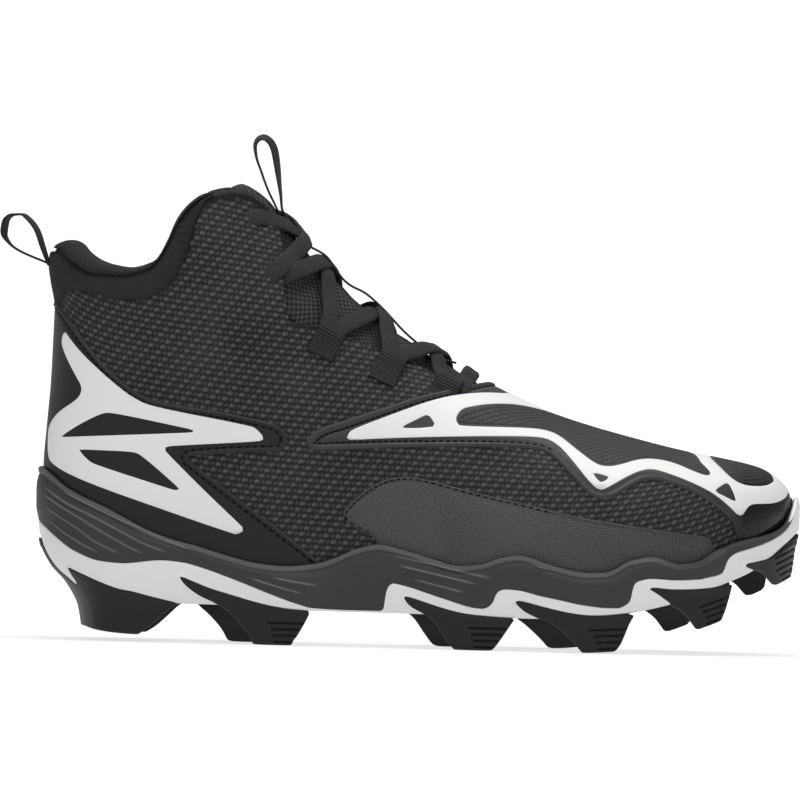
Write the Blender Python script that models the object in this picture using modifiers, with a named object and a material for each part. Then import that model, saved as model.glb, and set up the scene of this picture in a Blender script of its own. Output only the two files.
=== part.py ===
"""Mid-cut moulded cleat for the right foot: hollow upper, cup midsole, rand plate and studs.

Toe along +X, lateral side along -Y, floor at Z = 0. Tables are in millimetres and meshes in metres.
"""

import math
from collections import namedtuple

import bmesh
import bpy
from mathutils import Vector

MM = 0.001

# Driving sizes
HEEL_SOLE = -141.2
TOE_SOLE = 158.2
HEEL_UPPER = -137.7
TOE_UPPER = 154.4
UPPER_INSET = 4.0
UPPER_WALL = 2.4
GAP = 0.4
OVERLAY_GAP = 0.6
OVERLAY = 1.0
RAND = 1.6
CUP_GAP = 1.1
PLATE = 1.6
RIM_LIP = 1.6
INSOLE = 4.0
TONGUE = 4.0
COLLAR_PAD = 6.5
LACE_WIDTH = 7.5
LACE_THICK = 1.5
WEBBING = 1.2
RIB = 0.7
END_POWER = 2.2
HEEL_ROUND = 38.0
TOE_ROUND = {-1: 70.0, 1: 52.0}
END_FADE = 55.0
LATERAL, MEDIAL = -1, 1

# Plan of the sole: the spine's Y and the half-widths to either side of it
Plan = namedtuple("Plan", "x spine lateral medial")
PLAN = [
    Plan(-141.2, 0.0, 37.0, 36.0),
    Plan(-100.0, 0.0, 38.0, 37.0),
    Plan(-70.0, 0.0, 39.0, 36.5),
    Plan(-40.0, 0.0, 40.0, 34.5),
    Plan(-10.0, 0.5, 43.0, 34.5),
    Plan(20.0, 1.5, 48.0, 38.0),
    Plan(45.0, 2.5, 52.5, 42.5),
    Plan(70.0, 4.0, 56.0, 46.0),
    Plan(90.0, 5.5, 56.5, 46.5),
    Plan(110.0, 7.0, 55.0, 45.5),
    Plan(130.0, 8.5, 53.0, 44.0),
    Plan(158.2, 10.0, 50.0, 42.0),
]

# Last: height of its feather edge, height of its widest line, fullness of its crown, flare at the ankle
Last = namedtuple("Last", "x feather wide fullness flare")
LAST = [
    Last(-137.7, 47.0, 70.0, 2.0, 0.0),
    Last(-132.0, 41.0, 68.0, 2.0, 0.5),
    Last(-124.0, 36.5, 65.0, 2.0, 1.5),
    Last(-110.0, 32.5, 62.0, 2.0, 3.0),
    Last(-80.0, 28.0, 54.0, 2.0, 5.5),
    Last(-50.0, 24.8, 47.0, 1.9, 5.0),
    Last(-20.0, 23.2, 42.0, 1.85, 2.0),
    Last(20.0, 22.2, 39.0, 1.95, 0.0),
    Last(60.0, 21.5, 38.0, 2.15, 0.0),
    Last(90.0, 24.0, 40.0, 2.3, 0.0),
    Last(120.0, 31.0, 46.0, 2.5, 0.0),
    Last(140.0, 40.5, 52.0, 2.6, 0.0),
    Last(154.4, 50.0, 55.0, 2.6, 0.0),
]
TUCK = 0.07
FLARE_FROM, FLARE_OVER = 80.0, 70.0

# Heights along the shoe. The ridge carries on up the front of the leg, where the collar cuts it off.
Height = namedtuple("Height", "x z")
RIDGE = [
    Height(154.4, 59.0), Height(153.0, 63.5), Height(150.5, 66.8), Height(147.0, 69.6),
    Height(141.0, 72.6), Height(126.0, 75.9), Height(112.0, 78.3), Height(95.5, 82.0),
    Height(73.0, 87.8), Height(60.7, 91.7), Height(44.4, 98.8), Height(30.8, 105.7),
    Height(21.7, 110.5), Height(7.4, 118.0), Height(-13.0, 132.6), Height(-24.4, 142.5),
    Height(-34.0, 151.0), Height(-40.4, 158.6), Height(-47.3, 167.9), Height(-55.0, 178.0),
    Height(-65.0, 194.0), Height(-80.0, 222.0), Height(-100.0, 268.0), Height(-120.0, 322.0),
    Height(-137.7, 380.0),
]
VAMP_POINT = 40.0
THROAT_EDGE = [
    Height(-137.7, 128.0), Height(-134.5, 133.0), Height(-131.5, 137.0), Height(-121.0, 136.2),
    Height(-112.0, 133.8), Height(-102.0, 133.9), Height(-96.0, 136.0), Height(-90.0, 141.3),
    Height(-87.6, 144.0), Height(-84.0, 152.6), Height(-81.8, 162.3), Height(-78.5, 172.2),
    Height(-74.6, 175.1), Height(-67.6, 176.5), Height(-62.0, 175.8), Height(-55.0, 171.8),
    Height(-50.5, 167.0), Height(-47.6, 160.0), Height(-46.5, 148.0), Height(-45.0, 133.0),
    Height(-43.0, 126.3), Height(-35.0, 125.0), Height(-23.4, 122.0), Height(-12.3, 117.8),
    Height(1.5, 112.8), Height(10.7, 109.0), Height(21.5, 104.6), Height(31.0, 102.0),
    Height(36.0, 101.3), Height(40.0, 100.9),
]
COLLAR_TOP = [
    Height(-137.7, 151.5), Height(-135.5, 154.4), Height(-131.0, 155.8), Height(-125.6, 152.9),
    Height(-119.0, 148.6), Height(-106.6, 146.3), Height(-96.8, 149.0), Height(-92.0, 156.8),
    Height(-88.2, 165.5), Height(-83.7, 171.5), Height(-78.0, 175.6), Height(-76.0, 176.2),
]
RIM_TOP = [
    Height(-141.2, 67.3), Height(-133.0, 61.6), Height(-114.0, 50.0), Height(-91.0, 40.8),
    Height(-72.0, 35.2), Height(-53.0, 31.6), Height(-43.0, 30.8), Height(-31.0, 32.0),
    Height(-23.4, 34.4), Height(-14.5, 38.4), Height(-6.2, 40.1), Height(2.8, 38.4),
    Height(14.2, 35.3), Height(25.5, 32.7), Height(33.8, 33.5), Height(42.0, 36.4),
    Height(48.7, 37.3), Height(62.0, 33.6), Height(74.0, 31.3), Height(82.0, 31.6),
    Height(92.0, 36.6), Height(100.0, 38.0), Height(110.0, 35.4), Height(117.0, 36.4),
    Height(125.0, 41.4), Height(136.0, 46.3), Height(146.0, 50.2), Height(152.0, 55.6),
    Height(156.0, 61.4), Height(158.2, 64.4),
]
RAND_TOP = [
    Height(-141.2, 46.3), Height(-134.0, 40.0), Height(-127.0, 35.0), Height(-117.0, 31.5),
    Height(-107.0, 30.8), Height(-91.0, 32.3), Height(-83.0, 31.7), Height(-76.0, 30.0),
    Height(-64.0, 26.0), Height(-49.0, 20.4), Height(-38.0, 17.4), Height(-26.0, 16.3),
    Height(-7.0, 16.3), Height(-4.0, 22.6), Height(-1.5, 25.0), Height(1.5, 25.4),
    Height(14.5, 21.6), Height(29.0, 17.4), Height(34.2, 17.0), Height(37.2, 18.8),
    Height(40.2, 23.2), Height(43.5, 24.4), Height(56.7, 22.4), Height(77.5, 19.0),
    Height(87.5, 18.9), Height(90.6, 21.2), Height(93.4, 26.6), Height(96.5, 29.4),
    Height(102.0, 30.0), Height(115.4, 29.9), Height(124.0, 31.1), Height(127.6, 34.2),
    Height(130.2, 38.4), Height(133.5, 41.2), Height(142.0, 44.4), Height(149.0, 48.8),
    Height(154.6, 55.0), Height(158.2, 60.0),
]
PLATE_BOTTOM = [
    Height(-141.2, 39.5), Height(-134.4, 29.6), Height(-130.0, 25.9), Height(-124.0, 21.3),
    Height(-110.0, 18.0), Height(-86.7, 15.4), Height(-69.4, 15.2), Height(-34.0, 13.7),
    Height(12.0, 13.6), Height(30.0, 13.3), Height(45.0, 12.9), Height(57.5, 13.0),
    Height(77.6, 14.2), Height(89.7, 15.6), Height(107.6, 19.6), Height(120.0, 23.6),
    Height(129.4, 27.8), Height(141.3, 33.2), Height(149.0, 39.0), Height(153.0, 43.2),
    Height(158.2, 49.0),
]

# Profiles of the two ends: where the back of the upper and the ends of the sole stand at each height
HEEL_LINE = [
    Height(-136.5, 30.0), Height(-137.4, 50.0), Height(-137.7, 67.0), Height(-136.9, 84.0),
    Height(-136.2, 100.0), Height(-136.0, 116.0), Height(-136.0, 130.0), Height(-137.3, 140.0),
    Height(-138.4, 148.0), Height(-138.4, 158.0),
]
HEEL_WALL = [
    Height(-122.0, 0.0), Height(-123.8, 13.0), Height(-128.5, 22.0), Height(-134.8, 29.0),
    Height(-139.1, 38.0), Height(-140.0, 46.0), Height(-141.1, 52.0), Height(-141.2, 60.0),
    Height(-139.8, 68.0),
]
TOE_WALL = [
    Height(154.6, 20.0), Height(155.4, 32.0), Height(156.2, 40.0), Height(158.2, 49.0),
    Height(158.2, 58.0), Height(155.8, 66.0),
]
# Inset of the sole's wall, by height above the plate's bottom
SOLE_DRAFT = [Height(5.5, -26.0), Height(2.4, 0.0), Height(0.9, 4.0), Height(0.0, 10.0)]

# Ribs on the midsole's wall: how far they stand out along the shoe
Rib = namedtuple("Rib", "x height")
RIBS = [
    Rib(-141.2, 0.9), Rib(-100.0, 0.9), Rib(-72.0, 0.3), Rib(-50.0, 0.0), Rib(-5.0, 0.0),
    Rib(5.0, 0.6), Rib(34.0, 0.6), Rib(44.0, 0.0), Rib(158.2, 0.0),
]
RIB_ROWS = 3

# Studs of the lateral side: the foot, the middle and the root of each, then its flame on the rand
Stud = namedtuple(
    "Stud",
    "foot_back_x foot_back_z foot_front_x foot_front_z mid_back_x mid_back_z mid_front_x mid_front_z "
    "root_x front_x lip_x crest_x crest_z tip_x tip_z spans",
)
STUDS = [
    Stud(-137.5, 5.0, -98.5, 2.6, -137.5, 13.0, -92.0, 9.0,
         -137.5, -84.5, -133.0, -105.0, 20.6, -133.0, 28.2, 6),
    Stud(-55.5, 0.0, -39.0, 0.0, -60.5, 9.6, -35.2, 7.4, -70.0, -31.5, -69.5, -58.0, 18.6, -83.6, 25.6, 3),
    Stud(23.0, 0.0, 38.5, 0.0, 17.2, 8.6, 43.0, 6.4, 11.5, 47.5, 12.1, 19.0, 16.8, 2.9, 20.4, 3),
    Stud(73.0, 0.0, 86.5, 0.0, 67.0, 9.0, 91.0, 8.0, 57.0, 94.5, 57.5, 66.0, 16.6, 46.5, 20.2, 3),
    Stud(106.0, 7.6, 128.0, 14.4, 101.0, 12.2, 129.6, 21.0, 94.5, 131.5, 107.6, 115.0, 25.6, 98.9, 25.9, 4),
    Stud(139.3, 22.8, 157.6, 31.4, 136.6, 25.2, 157.7, 37.5,
         132.5, 157.7, 141.3, 146.0, 37.8, 136.3, 35.6, 6),
]
# The medial studs and the steps of their rand stand this much further back
Shift = namedtuple("Shift", "x back")
MEDIAL_SHIFT = [
    Shift(-141.2, 0.0), Shift(-115.0, 0.0), Shift(-75.0, 8.0), Shift(-40.0, 9.0), Shift(20.0, 8.5),
    Shift(80.0, 9.0), Shift(115.0, 6.0), Shift(140.0, 4.0), Shift(158.2, 0.0),
]
STUD_DEPTH_FOOT, STUD_DEPTH_ROOT = 14.0, 20.0
STUD_PROUD = 0.5
STUD_LEVELS = 5
STUD_OVERLAP = 3.0
NOTCH_DROP = 8.0

# Overlay outlines, seen from the side. The rim of the midsole closes their lower edges.
COUNTER_OUTLINE = [
    Height(-150.0, 145.0), Height(-131.0, 126.6), Height(-120.0, 111.5), Height(-109.0, 101.0),
    Height(-100.0, 95.4), Height(-89.0, 92.8), Height(-72.7, 91.0), Height(-54.6, 87.7),
    Height(-47.5, 85.7), Height(-44.5, 82.0), Height(-44.5, 77.5), Height(-47.0, 75.2),
    Height(-63.0, 74.8), Height(-84.0, 72.6), Height(-63.0, 57.0), Height(-48.0, 46.4),
    Height(-37.5, 38.6),
]
COUNTER_FOOT = -33.5
VAMP_OUTLINE = [
    Height(170.0, 120.0), Height(40.0, 120.0), Height(34.0, 103.6), Height(26.0, 102.3),
    Height(17.0, 100.5), Height(5.0, 97.6), Height(-4.0, 94.3), Height(-25.4, 87.4),
    Height(-33.0, 83.4), Height(-34.6, 79.5), Height(-32.7, 75.9), Height(-20.0, 76.6),
    Height(5.6, 78.4), Height(43.0, 79.3), Height(56.0, 78.5), Height(60.0, 76.6),
    Height(71.4, 64.9), Height(75.5, 61.0), Height(80.5, 59.6), Height(84.5, 60.7),
    Height(93.4, 66.4), Height(97.4, 68.0), Height(103.3, 67.7), Height(114.5, 63.9),
    Height(123.6, 59.1), Height(130.8, 52.6),
]
VAMP_FOOT = 134.5
PANEL_OUTLINE = [
    Height(-8.5, 42.6), Height(-19.3, 48.0), Height(-21.2, 51.8), Height(-20.6, 54.1),
    Height(-13.5, 61.0), Height(-6.1, 65.7), Height(2.1, 67.4), Height(9.7, 66.8),
    Height(28.6, 62.0), Height(56.4, 56.3), Height(71.7, 52.9), Height(96.8, 49.5),
    Height(121.9, 46.3),
]
PANEL_FOOT = (127.0, -6.0)
FOOT_STEP = 8.0
CUT_REACH = 90.0

# Lacing: where the lace leaves the lateral side, from the vamp up to the top eyelet
Eyelet = namedtuple("Eyelet", "x z lift")
LOOPS = [Eyelet(17.5, 101.5, 2.8), Eyelet(-5.0, 109.5, 1.4), Eyelet(-27.0, 119.0, 1.4)]
EYELETS = [Eyelet(-51.0, 142.2, 1.4), Eyelet(-58.3, 163.0, 1.4)]
LOOP_BACK, LOOP_DOWN, LOOP_WIDTH, LOOP_THICK = 4.5, 9.0, 9.0, 1.8

# Webbing loops, seen from the side
HEEL_LOOP = [
    Height(-139.9, 145.2), Height(-145.6, 151.0), Height(-154.0, 155.4), Height(-157.3, 160.5),
    Height(-156.0, 165.0), Height(-151.5, 165.6), Height(-145.8, 163.2), Height(-142.8, 158.1),
    Height(-140.0, 151.4),
]
HEEL_LOOP_WIDTH = 10.0
TONGUE_LOOP = [
    Height(-52.6, 176.6), Height(-55.4, 183.0), Height(-58.3, 191.6), Height(-58.3, 196.2),
    Height(-56.2, 198.0), Height(-53.4, 195.4), Height(-50.4, 189.0), Height(-48.4, 179.0),
]
STRAP_WIDTH = 8.0
STRAP_FROM, STRAP_TO = -47.0, 4.0
STRAP_REST, STRAP_RISE, STRAP_SPAN = 0.9, 2.9, 9.0

# The tongue: its half-width along the ridge, and how far it lies under the form
TongueRow = namedtuple("TongueRow", "x half sink")
TONGUE_ROWS = [
    TongueRow(47.0, 12.0, 3.9), TongueRow(40.0, 15.0, 3.9), TongueRow(33.0, 17.5, 2.4),
    TongueRow(24.0, 20.0, 1.2), TongueRow(12.0, 22.0, 1.0), TongueRow(0.0, 23.5, 1.0),
    TongueRow(-12.0, 25.0, 1.0), TongueRow(-24.0, 26.0, 1.0), TongueRow(-34.0, 26.5, 1.0),
    TongueRow(-43.0, 26.5, 1.0), TongueRow(-50.0, 26.0, 1.0), TongueRow(-57.0, 24.0, 1.0),
]
TONGUE_SPANS = 8
EYESTAY_SINK = UPPER_WALL + 1.7
RIDGE_TOP, RIDGE_FRONT = -57.5, 47.0

# Runs of the lace: places on the ridge, and how the strands leave and enter them
LacePlace = namedtuple("LacePlace", "x across lift")
LACE_CROSS_LIFT = 0.6
LACE_STEPS = 7
LACE_OUT, LACE_IN, LACE_BAR_AHEAD, LACE_TUCK = 4.5, 3.5, 5.5, 0.93

# Stations of the upper, its overlays and the sole. The rounded ends are filled in by fans.
COLLAR_STATIONS = [-100.0, -93.0, -88.5, -84.5, -82.0, -79.8]
THROAT_STATIONS = [-76.0, -68.0, -60.0, -54.0, -50.0, -47.6, -46.4, -45.0, -43.0, -37.0]
MIDDLE_STATIONS = [-28.0, -14.0, 0.0, 14.0, 24.0, 31.0, 36.5, 40.0, 48.0, 58.0, 69.0, 80.0]
TOE_FAN_LENGTH, TOE_FAN_STEPS = 62.0, 8
COUNTER_STATIONS = [-100.0, -84.5, -68.0, -54.0, -43.0, -28.0]
VAMP_STATIONS = [-43.0, -28.0, -14.0, 0.0, 14.0, 24.0, 31.0, 36.5, 40.0, 48.0, 58.0, 69.0, 80.0]
PANEL_STATIONS = [-28.0, -8.0, 14.0, 36.0, 58.0, 75.0, 92.0, 104.0, 114.0, 123.0, 132.0]
WAIST_STATIONS = [-95.0, -83.0, -70.0, -56.0, -42.0, -28.0, -14.0]
STEP_STATIONS = [
    -6.8, -4.0, -1.0, 4.0, 19.0, 34.0, 37.0, 40.0, 44.0, 57.0, 70.0, 82.0, 88.0, 91.0, 93.6, 97.0,
    106.0, 115.0, 124.0, 127.6, 130.2, 134.0,
]


# Curves through the tables

def smooth_line(rows, key, value):
    """A smooth function through the rows of a table that never overshoots them."""
    pairs = sorted((getattr(row, key), getattr(row, value)) for row in rows)
    xs = [pair[0] for pair in pairs]
    ys = [pair[1] for pair in pairs]
    steps = [b - a for a, b in zip(xs, xs[1:])]
    slopes = [(d - c) / step for c, d, step in zip(ys, ys[1:], steps)]
    tangents = [slopes[0]]
    for before, after in zip(slopes, slopes[1:]):
        tangents.append(2 * before * after / (before + after) if before * after > 0 else 0.0)
    tangents.append(slopes[-1])

    def at(x):
        if x <= xs[0]:
            return ys[0]
        if x >= xs[-1]:
            return ys[-1]
        k = max(i for i in range(len(xs) - 1) if xs[i] <= x)
        t = (x - xs[k]) / steps[k]
        rise = ys[k] * (1 + 2 * t) * (1 - t) ** 2 + ys[k + 1] * t * t * (3 - 2 * t)
        lean = tangents[k] * t * (1 - t) ** 2 - tangents[k + 1] * t * t * (1 - t)
        return rise + lean * steps[k]

    return at


spine = smooth_line(PLAN, "x", "spine")
plan_half = {LATERAL: smooth_line(PLAN, "x", "lateral"), MEDIAL: smooth_line(PLAN, "x", "medial")}
feather = smooth_line(LAST, "x", "feather")
widest = smooth_line(LAST, "x", "wide")
fullness = smooth_line(LAST, "x", "fullness")
flare = smooth_line(LAST, "x", "flare")
ridge = smooth_line(RIDGE, "x", "z")
throat_edge = smooth_line(THROAT_EDGE, "x", "z")
collar_top = smooth_line(COLLAR_TOP, "x", "z")
rim_top = smooth_line(RIM_TOP, "x", "z")
rand_top = smooth_line(RAND_TOP, "x", "z")
plate_bottom = smooth_line(PLATE_BOTTOM, "x", "z")
heel_line = smooth_line(HEEL_LINE, "z", "x")
heel_wall = smooth_line(HEEL_WALL, "z", "x")
toe_wall = smooth_line(TOE_WALL, "z", "x")
sole_draft = smooth_line(SOLE_DRAFT, "z", "x")
rib_height = smooth_line(RIBS, "x", "height")
medial_shift = smooth_line(MEDIAL_SHIFT, "x", "back")


def ease(t):
    t = min(1.0, max(0.0, t))
    return t * t * (3 - 2 * t)


def fade(t):
    return max(0.0, 1.0 - max(0.0, t)) ** 2


def end_round(distance, length):
    """Share of the half-width left at a distance from a rounded end of the plan."""
    t = min(1.0, max(0.0, distance / length))
    return (1 - (1 - t) ** END_POWER) ** (1 / END_POWER)


# The last: the upper's outer surface

def half_width(x, z, side):
    """Half-width of the upper, from its spine, at a station and height."""
    ends = end_round(x - HEEL_UPPER, HEEL_ROUND) * end_round(TOE_UPPER - x, TOE_ROUND[side])
    full = plan_half[side](x) - UPPER_INSET + flare(x) * ease((z - FLARE_FROM) / FLARE_OVER)
    low, wide, high, power = feather(x), widest(x), ridge(x), fullness(x)
    if z <= wide:
        return full * ends * (1 - TUCK * ((wide - z) / (wide - low)) ** 2)
    rise = min(1.0, (z - wide) / (high - wide))
    return full * ends * (1 - rise ** power) ** (1 / power)


def upper_normal(x, z, side):
    step = 0.3
    along = (half_width(x + step, z, side) - half_width(x - step, z, side)) / (2 * step)
    up = (half_width(x, z + step, side) - half_width(x, z - step, side)) / (2 * step)
    turn = (spine(x + step) - spine(x - step)) / (2 * step)
    if half_width(x, z, side) < 1e-6:
        return Vector((-along, 0.0, -up)).normalized()
    return Vector((-along - side * turn, side, -up)).normalized()


def upper_point(x, z, side, offset=0.0):
    """A point of the upper's outer surface, moved out along its normal."""
    shift = (heel_line(z) - HEEL_UPPER) * fade((x - HEEL_UPPER) / END_FADE)
    point = Vector((x + shift, spine(x) + side * half_width(x, z, side), z))
    if offset:
        point += upper_normal(x, z, side) * offset
    return point


def row_heights(x, below=2, above=5):
    """Heights of the grid's rows at a station, even along the girth, up to the edge or the ridge."""
    low, wide, high, power = feather(x), widest(x), ridge(x), fullness(x)
    top = high if x >= VAMP_POINT else throat_edge(x)
    heights = [low + (wide - low) * k / (below - 1) for k in range(below)]
    turn = math.asin(min(1.0, ((top - wide) / (high - wide)) ** (power / 2)))
    for k in range(1, above + 1):
        heights.append(wide + (high - wide) * math.sin(turn * k / above) ** (2 / power))
    heights[-1] = top
    return heights


def fan(start, length, sign, steps):
    """Stations that crowd towards a rounded end, even in angle."""
    return [start + sign * length * (1 - math.cos(math.pi / 2 * k / steps)) for k in range(steps)]


UPPER_STATIONS = (
    fan(HEEL_UPPER, HEEL_ROUND, 1, 6)
    + COLLAR_STATIONS
    + THROAT_STATIONS
    + MIDDLE_STATIONS
    + fan(TOE_UPPER, TOE_FAN_LENGTH, -1, TOE_FAN_STEPS)[::-1]
)


# Mesh helpers

def collection(name):
    made = bpy.data.collections.new(name)
    bpy.context.scene.collection.children.link(made)
    return made


def material(name, colour, roughness):
    made = bpy.data.materials.new(name)
    made.use_nodes = True
    shader = made.node_tree.nodes["Principled BSDF"]
    shader.inputs["Base Color"].default_value = (*colour, 1.0)
    shader.inputs["Roughness"].default_value = roughness
    return made


def finish_mesh(bm, name, into, finish=None, smooth=True):
    """Turns a bmesh in millimetres into an object in metres."""
    bmesh.ops.scale(bm, vec=(MM, MM, MM), verts=bm.verts)
    mesh = bpy.data.meshes.new(name)
    bm.to_mesh(mesh)
    bm.free()
    if smooth:
        mesh.shade_smooth()
        mesh.set_sharp_from_angle(angle=math.radians(40))
    made = bpy.data.objects.new(name, mesh)
    into.objects.link(made)
    if finish:
        mesh.materials.append(finish)
    return made


def solidify(made, thickness, offset):
    shell = made.modifiers.new("wall", "SOLIDIFY")
    shell.thickness = thickness * MM
    shell.offset = offset
    return made


def cutter(bm, name):
    """A closed helper mesh that only cuts."""
    bmesh.ops.recalc_face_normals(bm, faces=bm.faces)
    made = finish_mesh(bm, name, CUTTERS, smooth=False)
    made.hide_render = True
    made.display_type = "WIRE"
    return made


def boolean(made, operation, other):
    cut = made.modifiers.new(operation.lower(), "BOOLEAN")
    cut.operation = operation
    if isinstance(other, bpy.types.Collection):
        cut.operand_type = "COLLECTION"
        cut.collection = other
    else:
        cut.object = other


def loft(sections, closed_ring=False, cap_ends=True):
    """A surface through sections of equal point count. Each section is a closed ring of points."""
    bm = bmesh.new()
    rings = [[bm.verts.new(point) for point in section] for section in sections]
    pairs = list(zip(rings, rings[1:]))
    if closed_ring:
        pairs.append((rings[-1], rings[0]))
    for first, second in pairs:
        count = len(first)
        for k in range(count):
            n = (k + 1) % count
            bm.faces.new((first[k], second[k], second[n], first[n]))
    if cap_ends and not closed_ring:
        bm.faces.new(rings[0])
        bm.faces.new(rings[-1][::-1])
    bmesh.ops.remove_doubles(bm, verts=bm.verts, dist=1e-4)
    bmesh.ops.dissolve_degenerate(bm, dist=1e-4, edges=bm.edges)
    bmesh.ops.recalc_face_normals(bm, faces=bm.faces)
    return bm


def prism(outline, low_y, high_y):
    """A straight prism across the shoe from an outline seen from the side."""
    return loft([[Vector((p.x, y, p.z)) for p in outline] for y in (low_y, high_y)])


# Upper and its overlays

def form_surface(stations, sides, offset):
    """The upper's surface between stations, open at its edges. The sides share the points on the spine."""
    bm = bmesh.new()
    shared = {}
    for side in sides:
        columns = []
        for i, x in enumerate(stations):
            column = []
            for j, z in enumerate(row_heights(x)):
                key = (i, j) if half_width(x, z, side) < 1e-6 else (i, j, side)
                if key not in shared:
                    shared[key] = bm.verts.new(upper_point(x, z, side, offset))
                column.append(shared[key])
            columns.append(column)
        for first, second in zip(columns, columns[1:]):
            for k in range(len(first) - 1):
                quad = [first[k], second[k], second[k + 1], first[k + 1]]
                quad = [v for n, v in enumerate(quad) if v not in quad[:n]]
                if len(quad) > 2:
                    bm.faces.new(quad if side == LATERAL else quad[::-1])
    return bm


def build_upper():
    made = finish_mesh(form_surface(UPPER_STATIONS, (LATERAL, MEDIAL), 0.0), "upper", PARTS, MESH_CLOTH)
    return solidify(made, UPPER_WALL, -1.0)


def rim_edge(start, end):
    """Points just above the midsole's rim, from one station of the sole to another."""
    steps = max(2, round(abs(end - start) / FOOT_STEP))
    points = []
    for k in range(steps + 1):
        x = start + (end - start) * k / steps
        rim = rim_top(x)
        points.append(Height(upper_point(upper_station(x), rim, LATERAL).x, rim + GAP + 0.2))
    return points


def build_overlay(name, outline, stations, sides, finish):
    """A thin layer over the upper, cut out between two larger forms by its outline from the side."""
    layer = finish_mesh(form_surface(stations, sides, OVERLAY_GAP), name, PARTS, finish)
    solidify(layer, OVERLAY, 1.0)
    low_y = -CUT_REACH if LATERAL in sides else 0.0
    high_y = CUT_REACH if MEDIAL in sides else 0.0
    boolean(layer, "INTERSECT", cutter(prism(outline, low_y, high_y), name + "_outline"))
    return layer


def build_overlays():
    both = (LATERAL, MEDIAL)
    heel = rim_edge(COUNTER_FOOT, HEEL_SOLE)
    counter = COUNTER_OUTLINE + heel + [Height(-150.0, heel[-1].z)]
    counter_stations = fan(HEEL_UPPER, HEEL_ROUND, 1, 6) + COUNTER_STATIONS
    build_overlay("heel_counter", counter, counter_stations, both, SMOOTH_SKIN)
    toe = rim_edge(VAMP_FOOT, TOE_SOLE)
    vamp = VAMP_OUTLINE + toe + [Height(170.0, toe[-1].z)]
    vamp_stations = VAMP_STATIONS + fan(TOE_UPPER, TOE_FAN_LENGTH, -1, TOE_FAN_STEPS)[::-1]
    build_overlay("vamp_overlay", vamp, vamp_stations, both, SMOOTH_SKIN)
    panel = PANEL_OUTLINE + rim_edge(*PANEL_FOOT)
    for side, word in ((LATERAL, "lateral"), (MEDIAL, "medial")):
        build_overlay("side_panel_" + word, panel, PANEL_STATIONS, (side,), FINE_SKIN)


# Collar

def build_collar():
    """A padded ring on the upper's edge, from the front of one side round the heel to the other."""
    stations = fan(HEEL_UPPER, HEEL_ROUND, 1, 6) + COLLAR_STATIONS
    route = [(x, LATERAL) for x in stations[::-1]] + [(x, MEDIAL) for x in stations[1:]]
    sections = []
    for x, side in route:
        low = throat_edge(x) + GAP
        high = collar_top(x)
        tall = high - low
        pad = COLLAR_PAD * (0.45 + 0.55 * ease((-80.0 - x) / 16))
        profile = [
            (low, 0.0), (low + 0.4 * tall, 1.0), (high - 0.18 * tall, 0.5), (high, -0.3 * pad),
            (high - 0.14 * tall, -0.85 * pad), (low + 0.45 * tall, -pad), (low, -0.75 * pad),
        ]
        sections.append([upper_point(x, z, side, out) for z, out in profile])
    return finish_mesh(loft(sections), "collar", PARTS, KNIT)


# Tongue, strap and laces

def ridge_frame(x):
    """A point of the ridge, with its outward normal in the side view."""
    step = 0.5
    tangent = Vector((2 * step, 0.0, ridge(x + step) - ridge(x - step))).normalized()
    return Vector((x, spine(x), ridge(x))), Vector((-tangent.z, 0.0, tangent.x))


def crown_point(x, across, lift):
    """A point over the throat: the ridge's station, the distance across it and the height over the form."""
    base, normal = ridge_frame(x)
    side = LATERAL if across < 0 else MEDIAL
    near, far = 0.0, 60.0
    for _ in range(40):
        depth = (near + far) / 2
        if half_width(base.x - normal.x * depth, base.z - normal.z * depth, side) < abs(across):
            near = depth
        else:
            far = depth
    at_x, at_z = base.x - normal.x * far, base.z - normal.z * far
    return upper_point(at_x, at_z, side) + upper_normal(at_x, at_z, side) * lift


def build_tongue():
    """A padded sheet under the eyestays that swells between them."""
    sections = []
    for row in TONGUE_ROWS:
        top, under = [], []
        for k in range(TONGUE_SPANS + 1):
            across = row.half * (2 * k / TONGUE_SPANS - 1)
            sink = row.sink + (EYESTAY_SINK - row.sink) * ease((abs(across) - 6.0) / 7.0)
            edge = 1 - 0.5 * abs(2 * k / TONGUE_SPANS - 1) ** 4
            top.append(crown_point(row.x, across, -sink))
            under.append(crown_point(row.x, across, -sink - TONGUE * edge))
        sections.append(top + under[::-1])
    return finish_mesh(loft(sections), "tongue", PARTS, KNIT)


def ribbon(path, normals, width, thickness, axis=None):
    """A flat band along a path. Its width runs along an axis, or across the path on its surface."""
    sections = []
    for k, (point, normal) in enumerate(zip(path, normals)):
        ahead = path[min(k + 1, len(path) - 1)] - path[max(k - 1, 0)]
        out = (axis or normal.cross(ahead)).normalized() * width / 2
        up = (ahead.cross(out) if axis else normal).normalized() * thickness / 2
        sections.append([point - out - up, point + out - up, point + out + up, point - out + up])
    return loft(sections)


def webbing_path(points, steps):
    """A smooth path through points seen from the side."""
    Spot = namedtuple("Spot", "t x z")
    spots = []
    run = 0.0
    for k, p in enumerate(points):
        run += math.dist((p.x, p.z), (points[k - 1].x, points[k - 1].z)) if k else 0.0
        spots.append(Spot(run, p.x, p.z))
    at_x, at_z = smooth_line(spots, "t", "x"), smooth_line(spots, "t", "z")
    return [Vector((at_x(run * k / steps), 0.0, at_z(run * k / steps))) for k in range(steps + 1)]


def build_heel_loop():
    heel = webbing_path(HEEL_LOOP, 14)
    across = Vector((0.0, 1.0, 0.0))
    finish_mesh(ribbon(heel, heel, HEEL_LOOP_WIDTH, WEBBING, across), "heel_loop", PARTS, WEBBING_CLOTH)


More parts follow.
